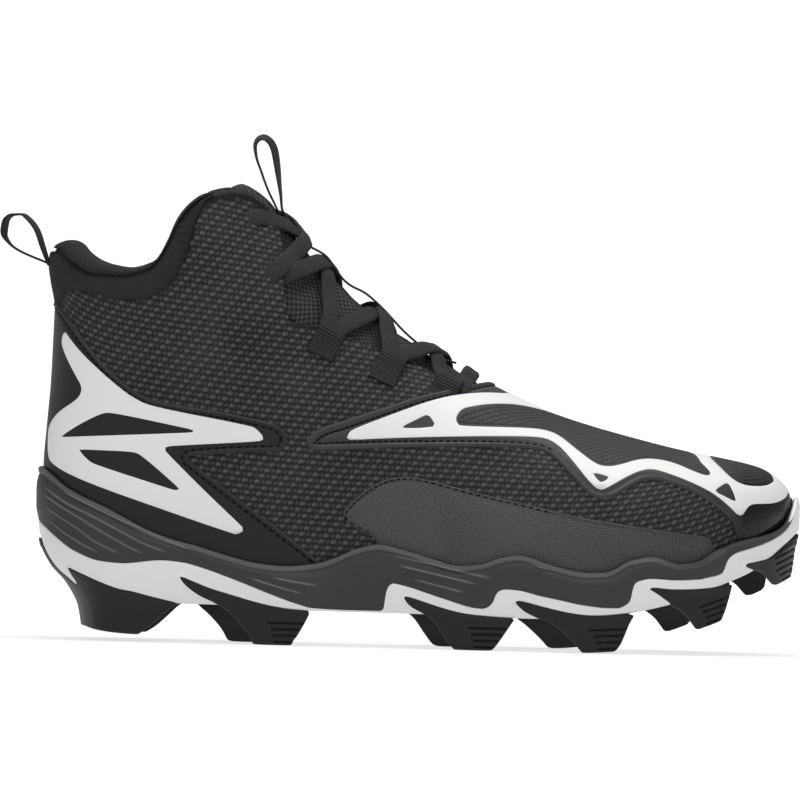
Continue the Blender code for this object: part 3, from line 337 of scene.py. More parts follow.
class FlatMap:
    """Places points of a flat cut on the upper. A table gives the missing coordinate at even steps."""

    row_step, step = 1.5, 0.5

    def __init__(self, low, high):
        rows = np.arange(low, high, self.row_step)
        self.low, self.table = low, np.array([[self.line(row, side) for row in rows] for side, _ in SIDES])

    def look_up(self, side, row, column):
        _, rows, columns = self.table.shape
        r = np.clip((row - self.low) / self.row_step, 0, rows - 1.001)
        c = np.clip(column / self.step, 0, columns - 1.001)
        i, j, k = by_side(side, 0, 1), r.astype(int), c.astype(int)
        p, q = r - j, c - k
        low = self.table[i, j, k] * (1 - q) + self.table[i, j, k + 1] * q
        high = self.table[i, j + 1, k] * (1 - q) + self.table[i, j + 1, k + 1] * q
        return low * (1 - p) + high * p


class GirthMap(FlatMap):
    """Run along the outline against signed girth from the ridge. It suits the vamp, toe and sides."""

    def line(self, run, side):
        x = station_of(run)
        z, girth = girth_line(x, side, ridge(x))
        under = ridge(x) - np.interp(np.arange(0.0, 190.0, self.step), girth[-1] - girth[::-1], z[::-1])
        return np.sqrt(np.maximum(under, 0.0))

    def place(self, flat):
        run, girth = flat[..., 0], flat[..., 1]
        side, x = by_side(girth, LATERAL, MEDIAL), station_of(run)
        return x, ridge(x) - self.look_up(side, run, np.abs(girth)) ** 2, side

    def flat(self, x, z, side):
        heights, girth = girth_line(x, side, ridge(x))
        return run_of(x), side * (girth[-1] - np.interp(z, heights, girth))


class HeelMap(FlatMap):
    """Signed run round the heel against height. It suits the counter and what wraps the heel."""

    def line(self, z, side):
        x, run = self.section(z, side)
        return np.interp(np.arange(0.0, 170.0, self.step), run, x)

    @staticmethod
    def section(z, side):
        x = HEEL_UPPER + 125.0 * np.linspace(0, 1, 500) ** 2
        return x, run_over(x, half_width(x, z, side))

    def place(self, flat):
        run, z = flat[..., 0], flat[..., 1]
        side = by_side(run, LATERAL, MEDIAL)
        return self.look_up(side, z, np.abs(run)), z, side

    def flat(self, x, z, side):
        stations, run = self.section(z, side)
        return side * np.interp(x, stations, run), z


GIRTH, HEEL = GirthMap(0.0, PLAN_RUN[-1] + FlatMap.row_step), HeelMap(24.0, 162.0)


# Mesh helpers

def add_object(name, data):
    made = bpy.data.objects.new(name, data)
    bpy.context.scene.collection.objects.link(made)
    return made


def mesh_piece(name, made, finishes, replaces=(), indices=None, sharp=None):
    """A mesh in millimetres made into a piece that rides on the shoe. Made is points, faces and cloth."""
    points, faces, cloth = made
    mesh = bpy.data.meshes.new(name)
    mesh.from_pydata((points * MM).tolist(), [], [list(map(int, face)) for face in faces])
    for key in finishes:
        mesh.materials.append(finish(key))
    if indices is not None:
        mesh.polygons.foreach_set("material_index", np.asarray(indices, np.int32))
    outward = bmesh.new()
    outward.from_mesh(mesh)
    bmesh.ops.recalc_face_normals(outward, faces=outward.faces)
    outward.to_mesh(mesh)
    outward.free()
    mesh.shade_smooth()
    if sharp:
        mesh.set_sharp_from_angle(angle=math.radians(sharp))
    # Cloth coordinates in millimetres, which the materials read: along, across, and height or edge. On the
    # woven mesh, the dotted zones and the midsole the third value is the share of painted highlight and shade
    attribute = mesh.attributes.new("cloth_mm", "FLOAT_VECTOR", "POINT")
    attribute.data.foreach_set("vector", np.asarray(cloth, np.float32).ravel())
    mesh.update()
    piece = add_object(name, mesh)
    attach(piece, "root")
    if replaces:
        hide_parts(*replaces)
    return piece


def weld(points, faces, cloth, indices):
    """Joins equal points and drops the faces that this leaves without area."""
    _, first, index = np.unique(np.round(points, 4), axis=0, return_index=True, return_inverse=True)
    index = index.reshape(-1)
    kept, kept_indices = [], []
    for face, finish_index in zip(faces, indices):
        ring = list(dict.fromkeys(index[list(face)].tolist()))
        if len(ring) > 2:
            kept.append(ring)
            kept_indices.append(finish_index)
    return (points[first], kept, cloth[first]), kept_indices


def grid_faces(columns, rows, start=0, closed=False, flip=False):
    """Quads of a grid whose points run up each column in turn."""
    i = np.arange(columns if closed else columns - 1)
    j = np.arange(rows - 1)
    a = start + i[:, None] * rows + j
    b = start + (i[:, None] + 1) % columns * rows + j
    quads = np.stack([a, b, b + 1, a + 1], -1).reshape(-1, 4)
    return quads[:, ::-1] if flip else quads


def sweep(sections):
    """Points and faces of a closed solid through rings of equal point count, with capped ends."""
    sections = np.asarray(sections)
    count, ring = sections.shape[:2]
    faces = []
    for i in range(0, (count - 1) * ring, ring):
        for j in range(ring):
            n = (j + 1) % ring
            faces.append((i + j, i + n, i + ring + n, i + ring + j))
    last = (count - 1) * ring
    faces.append(tuple(range(ring))[::-1])
    faces.append(tuple(range(last, last + ring)))
    return sections.reshape(-1, 3), faces


def joined(parts):
    """Several meshes, each points, faces and cloth, as one."""
    points, faces, cloth, start = [], [], [], 0
    for part_points, part_faces, part_cloth in parts:
        points.append(part_points)
        cloth.append(part_cloth)
        faces.extend(tuple(start + k for k in face) for face in part_faces)
        start += len(part_points)
    return np.concatenate(points), faces, np.concatenate(cloth)


# Outlines and the skins cut from them

SHARP_TURN = 34.0
HEEL_AHEAD = 1.0
ROW_RATIO = math.sqrt(3) / 2


def rounded(path, closed=False, corner=0.9):
    """A path with its gentle bends smoothed and its sharp corners cut by a fixed amount at most."""
    path = np.asarray(path, float)
    for _ in range(3):
        back, ahead = path - np.roll(path, 1, axis=0), np.roll(path, -1, axis=0) - path
        lengths = [np.linalg.norm(v, axis=1) for v in (back, ahead)]
        turn = np.degrees(np.arccos(np.clip((unit(back) * unit(ahead)).sum(1), -1, 1)))
        reach = np.where(turn > SHARP_TURN, corner, 1e9)
        cuts = [np.minimum(0.25 * length, reach)[:, None] for length in lengths]
        made = np.stack([path - unit(back) * cuts[0], path + unit(ahead) * cuts[1]], 1).reshape(-1, 2)
        path = made if closed else np.concatenate([path[:1], made[2:-2], path[-1:]])
    return path


def spaced(path, spacing, closed=True):
    """A path with even spacing."""
    path = np.asarray(path, float)
    if closed:
        path = np.concatenate([path, path[:1]])
    run = run_along(path)
    count = max(4, round(run[-1] / spacing))
    at = np.linspace(0, run[-1], count + 1)
    made = np.stack([np.interp(at, run, path[:, k]) for k in range(path.shape[1])], 1)
    return made[:-1] if closed else made


def inside(points, loop):
    """Which points lie within a loop."""
    x, y = points[:, :1], points[:, 1:2]
    a, b = loop, np.roll(loop, -1, axis=0)
    crosses = (a[:, 1] > y) != (b[:, 1] > y)
    rise = np.where(b[:, 1] == a[:, 1], 1e-12, b[:, 1] - a[:, 1])
    return (crosses & (x < a[:, 0] + (y - a[:, 1]) / rise * (b[:, 0] - a[:, 0]))).sum(1) % 2 == 1


def within(points, loops):
    """Which points lie within the first loop and outside the others."""
    good = inside(points, loops[0])
    for hole in loops[1:]:
        good &= ~inside(points, hole)
    return good


def edge_distance(points, loops):
    """Distance from each point to the nearest edge of any loop."""
    nearest = np.full(len(points), 1e9)
    for loop in loops:
        a, run = loop, np.roll(loop, -1, axis=0) - loop
        for chunk in range(0, len(points), 2000):
            away = points[chunk:chunk + 2000, None] - a
            t = np.clip((away * run).sum(-1) / np.maximum((run * run).sum(-1), 1e-12), 0, 1)
            gap = np.linalg.norm(away - t[..., None] * run, axis=-1).min(1)
            nearest[chunk:chunk + 2000] = np.minimum(nearest[chunk:chunk + 2000], gap)
    return nearest


def inset_path(loop, depth):
    """Points of a loop moved inwards, without those that come too near another edge."""
    ahead = np.roll(loop, -1, axis=0) - np.roll(loop, 1, axis=0)
    area = np.sum(loop[:, 0] * np.roll(loop[:, 1], -1) - np.roll(loop[:, 0], -1) * loop[:, 1])
    normal = unit(np.stack([-ahead[:, 1], ahead[:, 0]], -1)) * np.sign(area)
    moved = loop + normal * depth
    return moved[edge_distance(moved, [loop]) > 0.93 * abs(depth)]


def cut_skin(outline, holes, spacing, rings):
    """Points, triangles and edge distances of a flat cut, with closer rows of points along its edges."""
    loops = [spaced(loop, spacing * 0.8) for loop in (outline, *holes)]
    fine = [spaced(loop, spacing * 0.8) for loop in loops]
    low, high = loops[0].min(0), loops[0].max(0)
    columns = np.arange(math.floor(low[0] / spacing), high[0] / spacing)
    rows = np.arange(math.floor(low[1] / (spacing * ROW_RATIO)), high[1] / (spacing * ROW_RATIO))
    grid = np.stack(np.meshgrid(columns, rows, indexing="ij"), -1)
    grid[..., 0] += 0.5 * (grid[..., 1] % 2 == 0)
    grid = grid * (spacing, spacing * ROW_RATIO)
    inner = [grid.reshape(-1, 2)]
    keep_off = (max(rings) if rings else 0.0) + spacing * 0.5
    inner[0] = inner[0][edge_distance(inner[0], fine) > keep_off]
    for depth in rings:
        for number, loop in enumerate(loops):
            ring = inset_path(loop, depth if number == 0 else -depth)
            if len(ring):
                inner.append(ring[edge_distance(ring, fine) > 0.9 * depth])
    inner = np.concatenate(inner)
    good = within(inner, loops)
    vertices, edges = [inner[good]], []
    start = good.sum()
    for loop in loops:
        count = len(loop)
        vertices.append(loop)
        edges.extend((start + k, start + (k + 1) % count) for k in range(count))
        start += count
    flat = [Vector(point) for point in np.concatenate(vertices)]
    flat, _, faces, *_ = delaunay_2d_cdt(flat, [(int(a), int(b)) for a, b in edges], [], 0, 1e-5)
    flat, faces = np.array([tuple(v) for v in flat]), np.array(faces)
    faces = faces[within(flat[faces].mean(1), loops)]
    used, faces = np.unique(faces, return_inverse=True)
    faces = faces.reshape(-1, 3)
    flat = flat[used]
    a, b, c = (flat[faces[:, k]] for k in range(3))
    turn = (b - a)[:, 0] * (c - a)[:, 1] - (b - a)[:, 1] * (c - a)[:, 0]
    faces[turn < 0] = faces[turn < 0][:, ::-1]
    return flat, faces, edge_distance(flat, fine)


def close_under(top, under, faces):
    """A sheet closed by its underside, with walls along its edges."""
    count = len(top)
    directed = {}
    for face in faces:
        for a, b in zip(face, np.roll(face, -1)):
            directed[(int(a), int(b))] = True
    walls = [(b, a, a + count, b + count) for a, b in directed if (b, a) not in directed]
    made = [tuple(face) for face in faces] + [tuple(count + k for k in face[::-1]) for face in faces]
    return np.concatenate([top, under]), made + walls


def skin(outline, holes, flat_map, profile, spacing=2.0, sink=0.35, relief=None, flip=False):
    """A skin on the upper from a flat outline. Its profile gives height against distance from the edge."""
    depths = [row[0] for row in profile]
    rings = [d for d in depths if d > 0]
    flat, faces, edge = cut_skin(outline, holes, spacing, rings)
    height = np.interp(edge, depths, [row[1] for row in profile])
    if relief is not None:
        height = height + relief(flat, edge)
    x, z, side = flat_map.place(flat)
    top = upper_point(x, z, side, height)
    under = upper_point(x, z, side, np.minimum(height - 0.1, profile[0][1] - sink))
    points, made = close_under(top, under, faces[:, ::-1] if flip else faces)
    cloth = np.column_stack([flat, edge])
    return points, made, np.concatenate([cloth, cloth])


def on_map(flat_map, rows, side):
    """Side-view points on a flat map. Round the heel the skins stand a little proud of their stations."""
    ahead = HEEL_AHEAD if flat_map is HEEL else 0.0
    return [flat_map.flat(max(HEEL_UPPER, x + ahead - heel_shift(x, z)), z, side) for x, z in rows]


def both_sides(flat_map, rows):
    """A closed outline across the middle from its lateral half, which runs from middle to middle."""
    return on_map(flat_map, rows, LATERAL) + on_map(flat_map, rows[::-1], MEDIAL)


# Sole wall

def sole_half(x, side):
    """Half-width of the sole, from its spine, at a station."""
    return plan_half(x, side) * plan_ends(x, side, HEEL_SOLE, TOE_SOLE)


def side_station(x, side):
    """The plan's station under a station of a side's tables."""
    return x - by_side(side, 0.0, medial_shift(x))


def sole_point(x, z, side, offset=0.0):
    """Points of the sole's side wall, moved out along the outline's normal."""
    x, z, side, offset = np.broadcast_arrays(*(np.asarray(v, float) for v in (x, z, side, offset)))
    at = side_station(x, side)
    half = sole_half(at, side)
    back = (heel_wall(z) - HEEL_SOLE) * fade((at - HEEL_SOLE) / END_FADE)
    front = (toe_wall(z) - TOE_SOLE) * fade((TOE_SOLE - at) / END_FADE)
    draft = sole_draft(z - plate_bottom(x)) * np.minimum(1.0, half / 12.0)
    point = np.stack([at + back + front, spine(at) + side * (half - draft), z], -1)
    return point + sole_normal(x, side) * offset[..., None]


def sole_normal(x, side):
    """The outward direction of the sole's outline, seen from above."""
    at = side_station(x, side)
    low, high = np.maximum(HEEL_SOLE, at - 0.4), np.minimum(TOE_SOLE, at + 0.4)
    rise = spine(high) + side * sole_half(high, side) - spine(low) - side * sole_half(low, side)
    tip = sole_half(at, side) < 1e-6
    ahead = np.where(tip, np.where(at < 0, -1.0, 1.0), -side * rise)
    across = np.where(tip, 0.0, side * (high - low))
    return unit(stacked(ahead, across, np.zeros_like(at)))


def upper_station(x):
    """The upper's station that stands inside a station of the sole."""
    back = (HEEL_UPPER - HEEL_SOLE) * fade((x - HEEL_SOLE) / END_FADE)
    front = (TOE_UPPER - TOE_SOLE) * fade((TOE_SOLE - x) / END_FADE)
    return x + back + front


def sole_stations(step):
    """Stations at even runs round the outline, from heel to toe, closer where the rand steps."""
    x = even_ends(HEEL_SOLE, TOE_SOLE, 8000)
    half = (sole_half(x, LATERAL) + sole_half(x, MEDIAL)) / 2
    run = run_along(np.stack([x, half, 0.7 * rand_top(x)], 1))
    return np.interp(np.linspace(0, run[-1], round(run[-1] / step)), run, x)


def ring_mesh(profile_of, step):
    """A body with one profile at each station of the sole's outline, closed across between the sides."""
    stations = sole_stations(step)
    last = len(stations) - 1
    x = np.concatenate([stations, stations[-2:0:-1]])
    side = np.concatenate([np.full(last + 1, LATERAL), np.full(last - 1, MEDIAL)])
    columns, cloth = profile_of(x, side)
    count, rows = columns.shape[:2]
    faces = [tuple(q) for q in grid_faces(count, rows, closed=True)]
    for end in (0, rows - 1):
        for k in range(last):
            corners = (k, k + 1, (count - k - 1) % count, (count - k) % count)
            ring = list(dict.fromkeys(c * rows + end for c in corners))
            if len(ring) > 2:
                faces.append(tuple(ring) if end else tuple(ring[::-1]))
    return columns.reshape(-1, 3), faces, cloth.reshape(-1, 3)


def sole_station(x, z, side):
    """The sole's station whose wall stands at a place along the shoe and a height."""
    x, z = np.asarray(x, float), np.asarray(z, float)
    low, high = halved(np.full(x.shape, HEEL_SOLE), np.full(x.shape, TOE_SOLE + 12.0),
                       lambda at: sole_point(at, z, side)[..., 0] < x, 40)
    return (low + high) / 2


# Shader nodes

def add_node(tree, kind, inputs=None, **settings):
    """A node with its settings. Inputs are sockets to link or values to set."""
    node = tree.nodes.new(kind)
    for key, value in settings.items():
        setattr(node, key, value)
    for key, value in (inputs or {}).items():
        if isinstance(value, bpy.types.NodeSocket):
            tree.links.new(value, node.inputs[key])
        else:
            node.inputs[key].default_value = value
    return node


def sum_of(tree, operation, *values):
    return add_node(tree, "ShaderNodeMath", dict(enumerate(values)), operation=operation).outputs[0]


def new_group(name, inputs, outputs):
    """An empty node group with named sockets, and its two ends."""
    tree = bpy.data.node_groups.new(name, "ShaderNodeTree")
    for label, kind, default in inputs:
        socket = tree.interface.new_socket(label, in_out="INPUT", socket_type=kind)
        if default is not None:
            socket.default_value = default
    for label in outputs:
        tree.interface.new_socket(label, in_out="OUTPUT", socket_type="NodeSocketFloat")
    return tree, tree.nodes.new("NodeGroupInput"), tree.nodes.new("NodeGroupOutput")


VECTOR, FLOAT = "NodeSocketVector", "NodeSocketFloat"


def pattern_group(name, height_of):
    """A group whose height is made of sines along and across the cloth, at the pitches of its inputs."""
    tree, entry, leave = new_group(name, [
        ("Cloth", VECTOR, None), ("Pitch Along", FLOAT, 1.0), ("Pitch Across", FLOAT, 1.0)], ["Height"])
    parts = add_node(tree, "ShaderNodeSeparateXYZ", {0: entry.outputs["Cloth"]})
    sines = []
    for axis, pitch in enumerate(("Pitch Along", "Pitch Across")):
        turns = sum_of(tree, "DIVIDE", parts.outputs[axis], entry.outputs[pitch])
        sines.append(sum_of(tree, "SINE", sum_of(tree, "MULTIPLY", turns, 2 * math.pi)))
    tree.links.new(height_of(tree, *sines), leave.inputs["Height"])
    return tree


def basket_height(tree, along, across):
    """Over and under threads of a plain weave."""
    return sum_of(tree, "MULTIPLY_ADD", sum_of(tree, "MULTIPLY", along, across), 0.5, 0.5)


def rib_height(tree, along, across):
    """Close ribs across a webbing or a knit, each broken by its stitches."""
    rib = sum_of(tree, "MULTIPLY_ADD", along, 0.38, 0.5)
    return sum_of(tree, "MULTIPLY_ADD", across, 0.12, rib)


def grid_height(tree, along, across):
    """A fine square grid pressed into a skin."""
    return sum_of(tree, "MULTIPLY_ADD", sum_of(tree, "MAXIMUM", along, across), 0.5, 0.5)


def relief_light_group():
    """The third cloth coordinate as a height, where the mesh itself carries the relief."""
    tree, entry, leave = new_group("woven_lift", [("Cloth", VECTOR, None)], ["Height"])
    parts = add_node(tree, "ShaderNodeSeparateXYZ", {0: entry.outputs["Cloth"]})
    tree.links.new(parts.outputs[2], leave.inputs["Height"])
    return tree


def grain_group():
    """Fine grain and a slow change of tone, in the shoe's own space."""
    tree, entry, leave = new_group("surface_grain", [("Size", FLOAT, 0.4)], ["Grain", "Tone"])
    place = add_node(tree, "ShaderNodeTexCoord").outputs["Object"]
    scale = sum_of(tree, "DIVIDE", 1000.0, entry.outputs["Size"])
    fine = add_node(tree, "ShaderNodeTexNoise", {"Vector": place, "Scale": scale, "Detail": 3.0})
    slow = add_node(tree, "ShaderNodeTexNoise", {"Vector": place, "Scale": 38.0, "Detail": 2.0})
    tree.links.new(fine.outputs[0], leave.inputs["Grain"])
    tree.links.new(slow.outputs[0], leave.inputs["Tone"])
    return tree


def edge_paint_group():
    """Light rubbing along the edges of a skin, broken up by grain."""
    tree, entry, leave = new_group("edge_rub", [
        ("Cloth", VECTOR, None), ("Breadth", FLOAT, 0.8), ("Grain", FLOAT, 0.5)], ["Rub"])
    parts = add_node(tree, "ShaderNodeSeparateXYZ", {0: entry.outputs["Cloth"]})
    near = sum_of(tree, "SUBTRACT", 1.0, sum_of(tree, "DIVIDE", parts.outputs[2], entry.outputs["Breadth"]))
    broken = sum_of(tree, "MULTIPLY", sum_of(tree, "MAXIMUM", near, 0.0), entry.outputs["Grain"])
    tree.links.new(sum_of(tree, "MINIMUM", broken, 1.0), leave.inputs["Rub"])
    return tree


# The node groups by their kind: what builds each, with its arguments
GROUPS = {
    "basket": (pattern_group, "basket_weave", basket_height),
    "ribs": (pattern_group, "cloth_ribs", rib_height),
    "grid": (pattern_group, "pressed_grid", grid_height),
    "lift": [relief_light_group], "grain": [grain_group], "rub": [edge_paint_group],
}
built_groups, built_finishes = {}, {}


def use_group(tree, kind, inputs):
    """Places a node group in a material, building it the first time."""
    if kind not in built_groups:
        build, *given = GROUPS[kind]
        built_groups[kind] = build(*given)
    return add_node(tree, "ShaderNodeGroup", inputs, node_tree=built_groups[kind])


def mixed(tree, share, first, second):
    """A colour between two, by a share. Each is a socket or a plain colour."""
    first, second = (value if isinstance(value, bpy.types.NodeSocket) else (*value, 1.0)
                     for value in (first, second))
    sides = {"Factor": share, "A": first, "B": second}
    return add_node(tree, "ShaderNodeMix", sides, data_type="RGBA").outputs["Result"]


# Where the vamp's skin turns into the glossy skin of the toe, and how much smoother that is
TOE_GLOSS = (130.0, 136.0, 0.24)
# How far the grain moves the roughness
GRAIN_ROUGH = 0.22
# Finishes: colour, its shares in the lows and on the highs of the relief, roughness, then what differs from
# fill_finish's defaults. The two shares paint shade into the relief's lows and highlight onto its highs.
# Lengths are in millimetres. Relief is its kind with the pitches along and across and the depth, grain its
# size and depth, rub the breadth of the painted edge and its share of the colour (above one a painted
# highlight on the rolled edge, below one a darker edge), toe the toe's share.
FINISHES = {
    "woven_mesh": ("mesh", 0.7, 8.0, 0.6, dict(
        relief=["lift"], grain=(0.35, 0.08), tone=0.25, specular=0.12)),
    "lining_knit": ("knit", 0.5, 1.5, 0.9, dict(relief=("ribs", 1.0, 1.6, 0.2), specular=0.12)),
    "moulded_skin": ("skin", 0.8, 1.3, 0.5, dict(grain=(0.5, 0.03), rub=(1.2, 6.0), specular=0.2)),
    "vamp_moulding": ("skin", 2.0, 3.0, 0.5, dict(grain=(0.5, 0.03), rub=(1.2, 5.0), specular=0.25, toe=0.3)),
    "grid_skin": ("panel", 0.2, 1.7, 0.4, dict(
        relief=("grid", 0.97, 0.97, 0.2), tone=0.6, rub=(1.0, 0.3), specular=0.35)),
    "dotted_skin": ("zone", 0.05, 1.0, 0.55, dict(relief=["lift"], tone=0.1, specular=0.2)),
    "white_film": ("film", 0.95, 1.0, 0.5, dict(grain=(0.6, 0.02), tone=0.5)),
    "stitch_thread": ("skin", 0.2, 0.5, 0.8, dict(relief=("ribs", 0.6, 0.6, 0.08), specular=0.1)),
    "ribbed_webbing": ("webbing", 0.3, 2.0, 0.75, dict(relief=("ribs", 1.15, 0.7, 0.3), specular=0.12)),
    "plain_webbing": ("webbing", 0.7, 1.2, 0.75, dict(relief=("ribs", 0.8, 0.8, 0.06), specular=0.15)),
    "flat_lace": ("lace", 0.6, 1.5, 0.8, dict(relief=("basket", 1.3, 1.3, 0.18), specular=0.12)),
    "foam_wall": ("foam", 1.0, 3.6, 0.58, dict(relief=["lift"], grain=(0.3, 0.03), tone=0.2, specular=0.2)),
    "rim_rubber": ("rim", 0.96, 1.0, 0.42, dict(grain=(0.5, 0.02))),
    "stud_rubber": ("rubber", 0.8, 1.3, 0.5, dict(grain=(0.3, 0.04), specular=0.2)),
    "insole_cloth": ("knit", 0.7, 1.8, 0.95, dict(relief=("basket", 0.8, 0.8, 0.1))),
    "tongue_mesh": ("mesh", 0.5, 5.5, 0.75, dict(relief=("basket", 1.9, 1.9, 0.3), specular=0.15)),
}


def sizes():
    return bpy.context.scene.cleat_sizes


def lighter(colour, by):
    return [min(1.0, c * by) for c in colour]


def fill_finish(tree, colour, low, high, roughness, relief=None, grain=(0.4, 0.05), tone=0.35, rub=None,
                specular=0.5, toe=None):
    """Nodes of a material from its colours in the lows and on the highs, its relief and its grain."""
    shader = tree.nodes["Principled BSDF"]
    cloth = add_node(tree, "ShaderNodeAttribute", attribute_name="cloth_mm").outputs["Vector"]
    surface = use_group(tree, "grain", {"Size": grain[0]})
    fine, slow = surface.outputs["Grain"], surface.outputs["Tone"]
    grained = add_node(tree, "ShaderNodeBump", {"Height": fine, "Distance": grain[1] * MM})
    height = 0.5
    if relief:
        kind, *pressed = relief
        pitches = dict(zip(("Pitch Along", "Pitch Across"), pressed))
        height = use_group(tree, kind, {"Cloth": cloth, **pitches}).outputs["Height"]
        if pressed:
            bump = add_node(tree, "ShaderNodeBump", {"Height": height, "Distance": pressed[2] * MM})
            tree.links.new(bump.outputs["Normal"], grained.inputs["Normal"])
    tree.links.new(grained.outputs["Normal"], shader.inputs["Normal"])
    # The relief's height moves the colour from the lows' share to the highs': painted shade in the lows and
    # painted highlight on the highs. The slow tone is the surface's own.
    share = sum_of(tree, "MULTIPLY_ADD", sum_of(tree, "SUBTRACT", slow, 0.5), tone, height)
    share = sum_of(tree, "MAXIMUM", sum_of(tree, "MINIMUM", share, 1.0), 0.0)
    shade = mixed(tree, share, lighter(colour, low), lighter(colour, high))
    # Painted highlight on the moulded skins' rolled edges; on the panels a darker edge.
    if rub:
        painted_edge_share = use_group(tree, "rub", {"Cloth": cloth, "Breadth": rub[0], "Grain": fine})
        shade = mixed(tree, painted_edge_share.outputs["Rub"], shade, lighter(colour, rub[1]))
    rough = sum_of(tree, "MULTIPLY_ADD", sum_of(tree, "SUBTRACT", fine, 0.5), GRAIN_ROUGH, roughness)
    if toe:
        place = add_node(tree, "ShaderNodeTexCoord").outputs["Object"]
        along = add_node(tree, "ShaderNodeSeparateXYZ", {0: place}).outputs[0]
        reach = add_node(tree, "ShaderNodeMapRange", {
            "Value": along, "From Min": TOE_GLOSS[0] * MM, "From Max": TOE_GLOSS[1] * MM}).outputs[0]
        shade = mixed(tree, reach, shade, lighter(colour, toe))
        rough = sum_of(tree, "MULTIPLY_ADD", reach, -TOE_GLOSS[2], rough)
    tree.links.new(shade, shader.inputs["Base Color"])
    tree.links.new(rough, shader.inputs["Roughness"])
    shader.inputs["Specular IOR Level"].default_value = specular


def finish(name):
    """A material by its name, made the first time that a piece asks for it."""
    if name not in built_finishes:
        key, low, high, roughness, rest = FINISHES[name]
        made = built_finishes[name] = bpy.data.materials.new(name)
        made.use_nodes = True
        colour = getattr(bpy.context.scene.cleat_colours, key)
        fill_finish(made.node_tree, colour, low, high, roughness, **rest)
    return built_finishes[name]


# Upper and lining

# Heights of the threads along one row of the weave, as shares of the weave's height. The colour follows them:
# painted highlight on the raised threads, painted shade between them
WEAVE_LIFTS = np.array([1.0, 0.6, 0.12, 0.48, 0.16])
# Steps that each row of the weave stands ahead of the row under it
WEAVE_SHIFT = 2
# The weave fades over this length at the foot, and over this one at the top edge
FOOT_FADE, TOP_FADE = 4.0, 1.5
# The bound edge beside the eyelets: the stations of its ends, the run over which it comes in, and its breadth
BOUND_BACK, BOUND_FRONT, BOUND_RUN, BOUND_BREADTH = -86.0, -44.0, 6.0, 2.6
# Its roll: height, distance of its middle from the edge, and half-breadth
BOUND_ROLL = (0.7, 1.3, 1.7)
# The brim between wall and lining: height, and its rise at the eyelets with the stations where that ends
BRIM, BRIM_RISE, BRIM_BACK, BRIM_FRONT, BRIM_RUN = 0.4, 1.6, -81.0, -57.0, 5.0
INNER_ROWS = 14
LINING_TONE = 0.3


def build_upper():
    """The woven wall: every thread crossing is a point of the mesh, raised in staggered rows."""
    along, step = sizes().weave_pitch / MM / len(WEAVE_LIFTS), sizes().weave_row / MM / 2
    lift = sizes().weave_height / MM
    count = round(PLAN_RUN[-1] / along)
    runs = np.linspace(0, PLAN_RUN[-1], count + 1)
    stations = station_of(runs)
    tops = np.where(stations >= VAMP_POINT, ridge(stations), throat_edge(stations))
    columns, faces, indices, cloths, start = [], [], [], [], 0
    for side, _ in SIDES:
        lines = [girth_line(x, side, top) for x, top in zip(stations, tops)]
        rows = int(max(girth[-1] for _, girth in lines) / step) + 2
        girths = np.arange(rows) * step
        z = np.array([np.interp(girths, girth, heights) for heights, girth in lines])
        total = np.array([girth[-1] for _, girth in lines])[:, None]
        i, k = np.arange(count + 1)[:, None], np.arange(rows)[None]
        raised = np.where(k % 2 == 1, WEAVE_LIFTS[(i - k // 2 * WEAVE_SHIFT) % len(WEAVE_LIFTS)], 0.0)
        bound = ease((stations - BOUND_BACK) / BOUND_RUN) * ease((BOUND_FRONT - stations) / BOUND_RUN)
        bound = bound[:, None]
        raised = raised * np.clip((total - girths - BOUND_BREADTH * bound) / TOP_FADE, 0, 1)
        raised = raised * np.clip(girths / FOOT_FADE, 0, 1)
        tall, middle, half = BOUND_ROLL
        rolled = tall * bound * np.clip(1 - ((total - girths - middle) / half) ** 2, 0, 1)
        outer = upper_point(stations[:, None], z, side, raised * lift + rolled)
        run = np.broadcast_to(runs[:, None], z.shape)
        # The raised share is also the colour's share: painted highlight on the raised threads and painted
        # shade between them, fading at the foot and the top edge
        cloth = np.stack([run, np.minimum(girths, total) + 0 * run, raised], -1)
        share = np.linspace(1, 0, INNER_ROWS)[None]
        inner_z = np.array([np.interp(share[0] * girth[-1], girth, heights) for heights, girth in lines])
        inner = upper_point(stations[:, None], inner_z, side, -UPPER_WALL)
        rise = ease((stations - BRIM_BACK) / BRIM_RUN) * ease((BRIM_FRONT - stations) / BRIM_RUN)
        brim = upper_point(stations, tops + BRIM + BRIM_RISE * rise, side, -UPPER_WALL / 2)[:, None]
        column = np.concatenate([outer, brim, inner, outer[:, :1]], 1)
        inner_cloth = stacked(run[:, :1], share * total, LINING_TONE)
        column_cloth = np.concatenate([cloth, cloth[:, -1:], inner_cloth, cloth[:, :1]], 1)
        height = column.shape[1]
        quads = grid_faces(count + 1, height, start, flip=side == MEDIAL)
        row_of = np.tile(np.arange(height - 1), count)
        closed = np.repeat((stations[:-1] >= VAMP_POINT) & (stations[1:] >= VAMP_POINT), height - 1)
        seam = (row_of == rows - 1) | (row_of == rows)
        keep = ~(closed & seam)
        faces.append(quads[keep])
        indices.append((row_of[keep] >= rows - 1).astype(int))
        columns.append((column, rows))
        cloths.append(column_cloth.reshape(-1, 3))
        start += column.shape[0] * height
    # Ahead of the throat the two halves share the points of their ridge
    (left, left_rows), (right, right_rows) = columns
    met = stations >= VAMP_POINT
    for step_to in (-1, 1):
        middle = (left[met, left_rows + step_to] + right[met, right_rows + step_to]) / 2
        left[met, left_rows + step_to] = right[met, right_rows + step_to] = middle
    points = np.concatenate([column.reshape(-1, 3) for column, _ in columns])
    made, indices = weld(points, *(np.concatenate(rows) for rows in (faces, cloths, indices)))
    mesh_piece("upper_mesh", made, ["woven_mesh", "lining_knit"], ["upper"], indices)


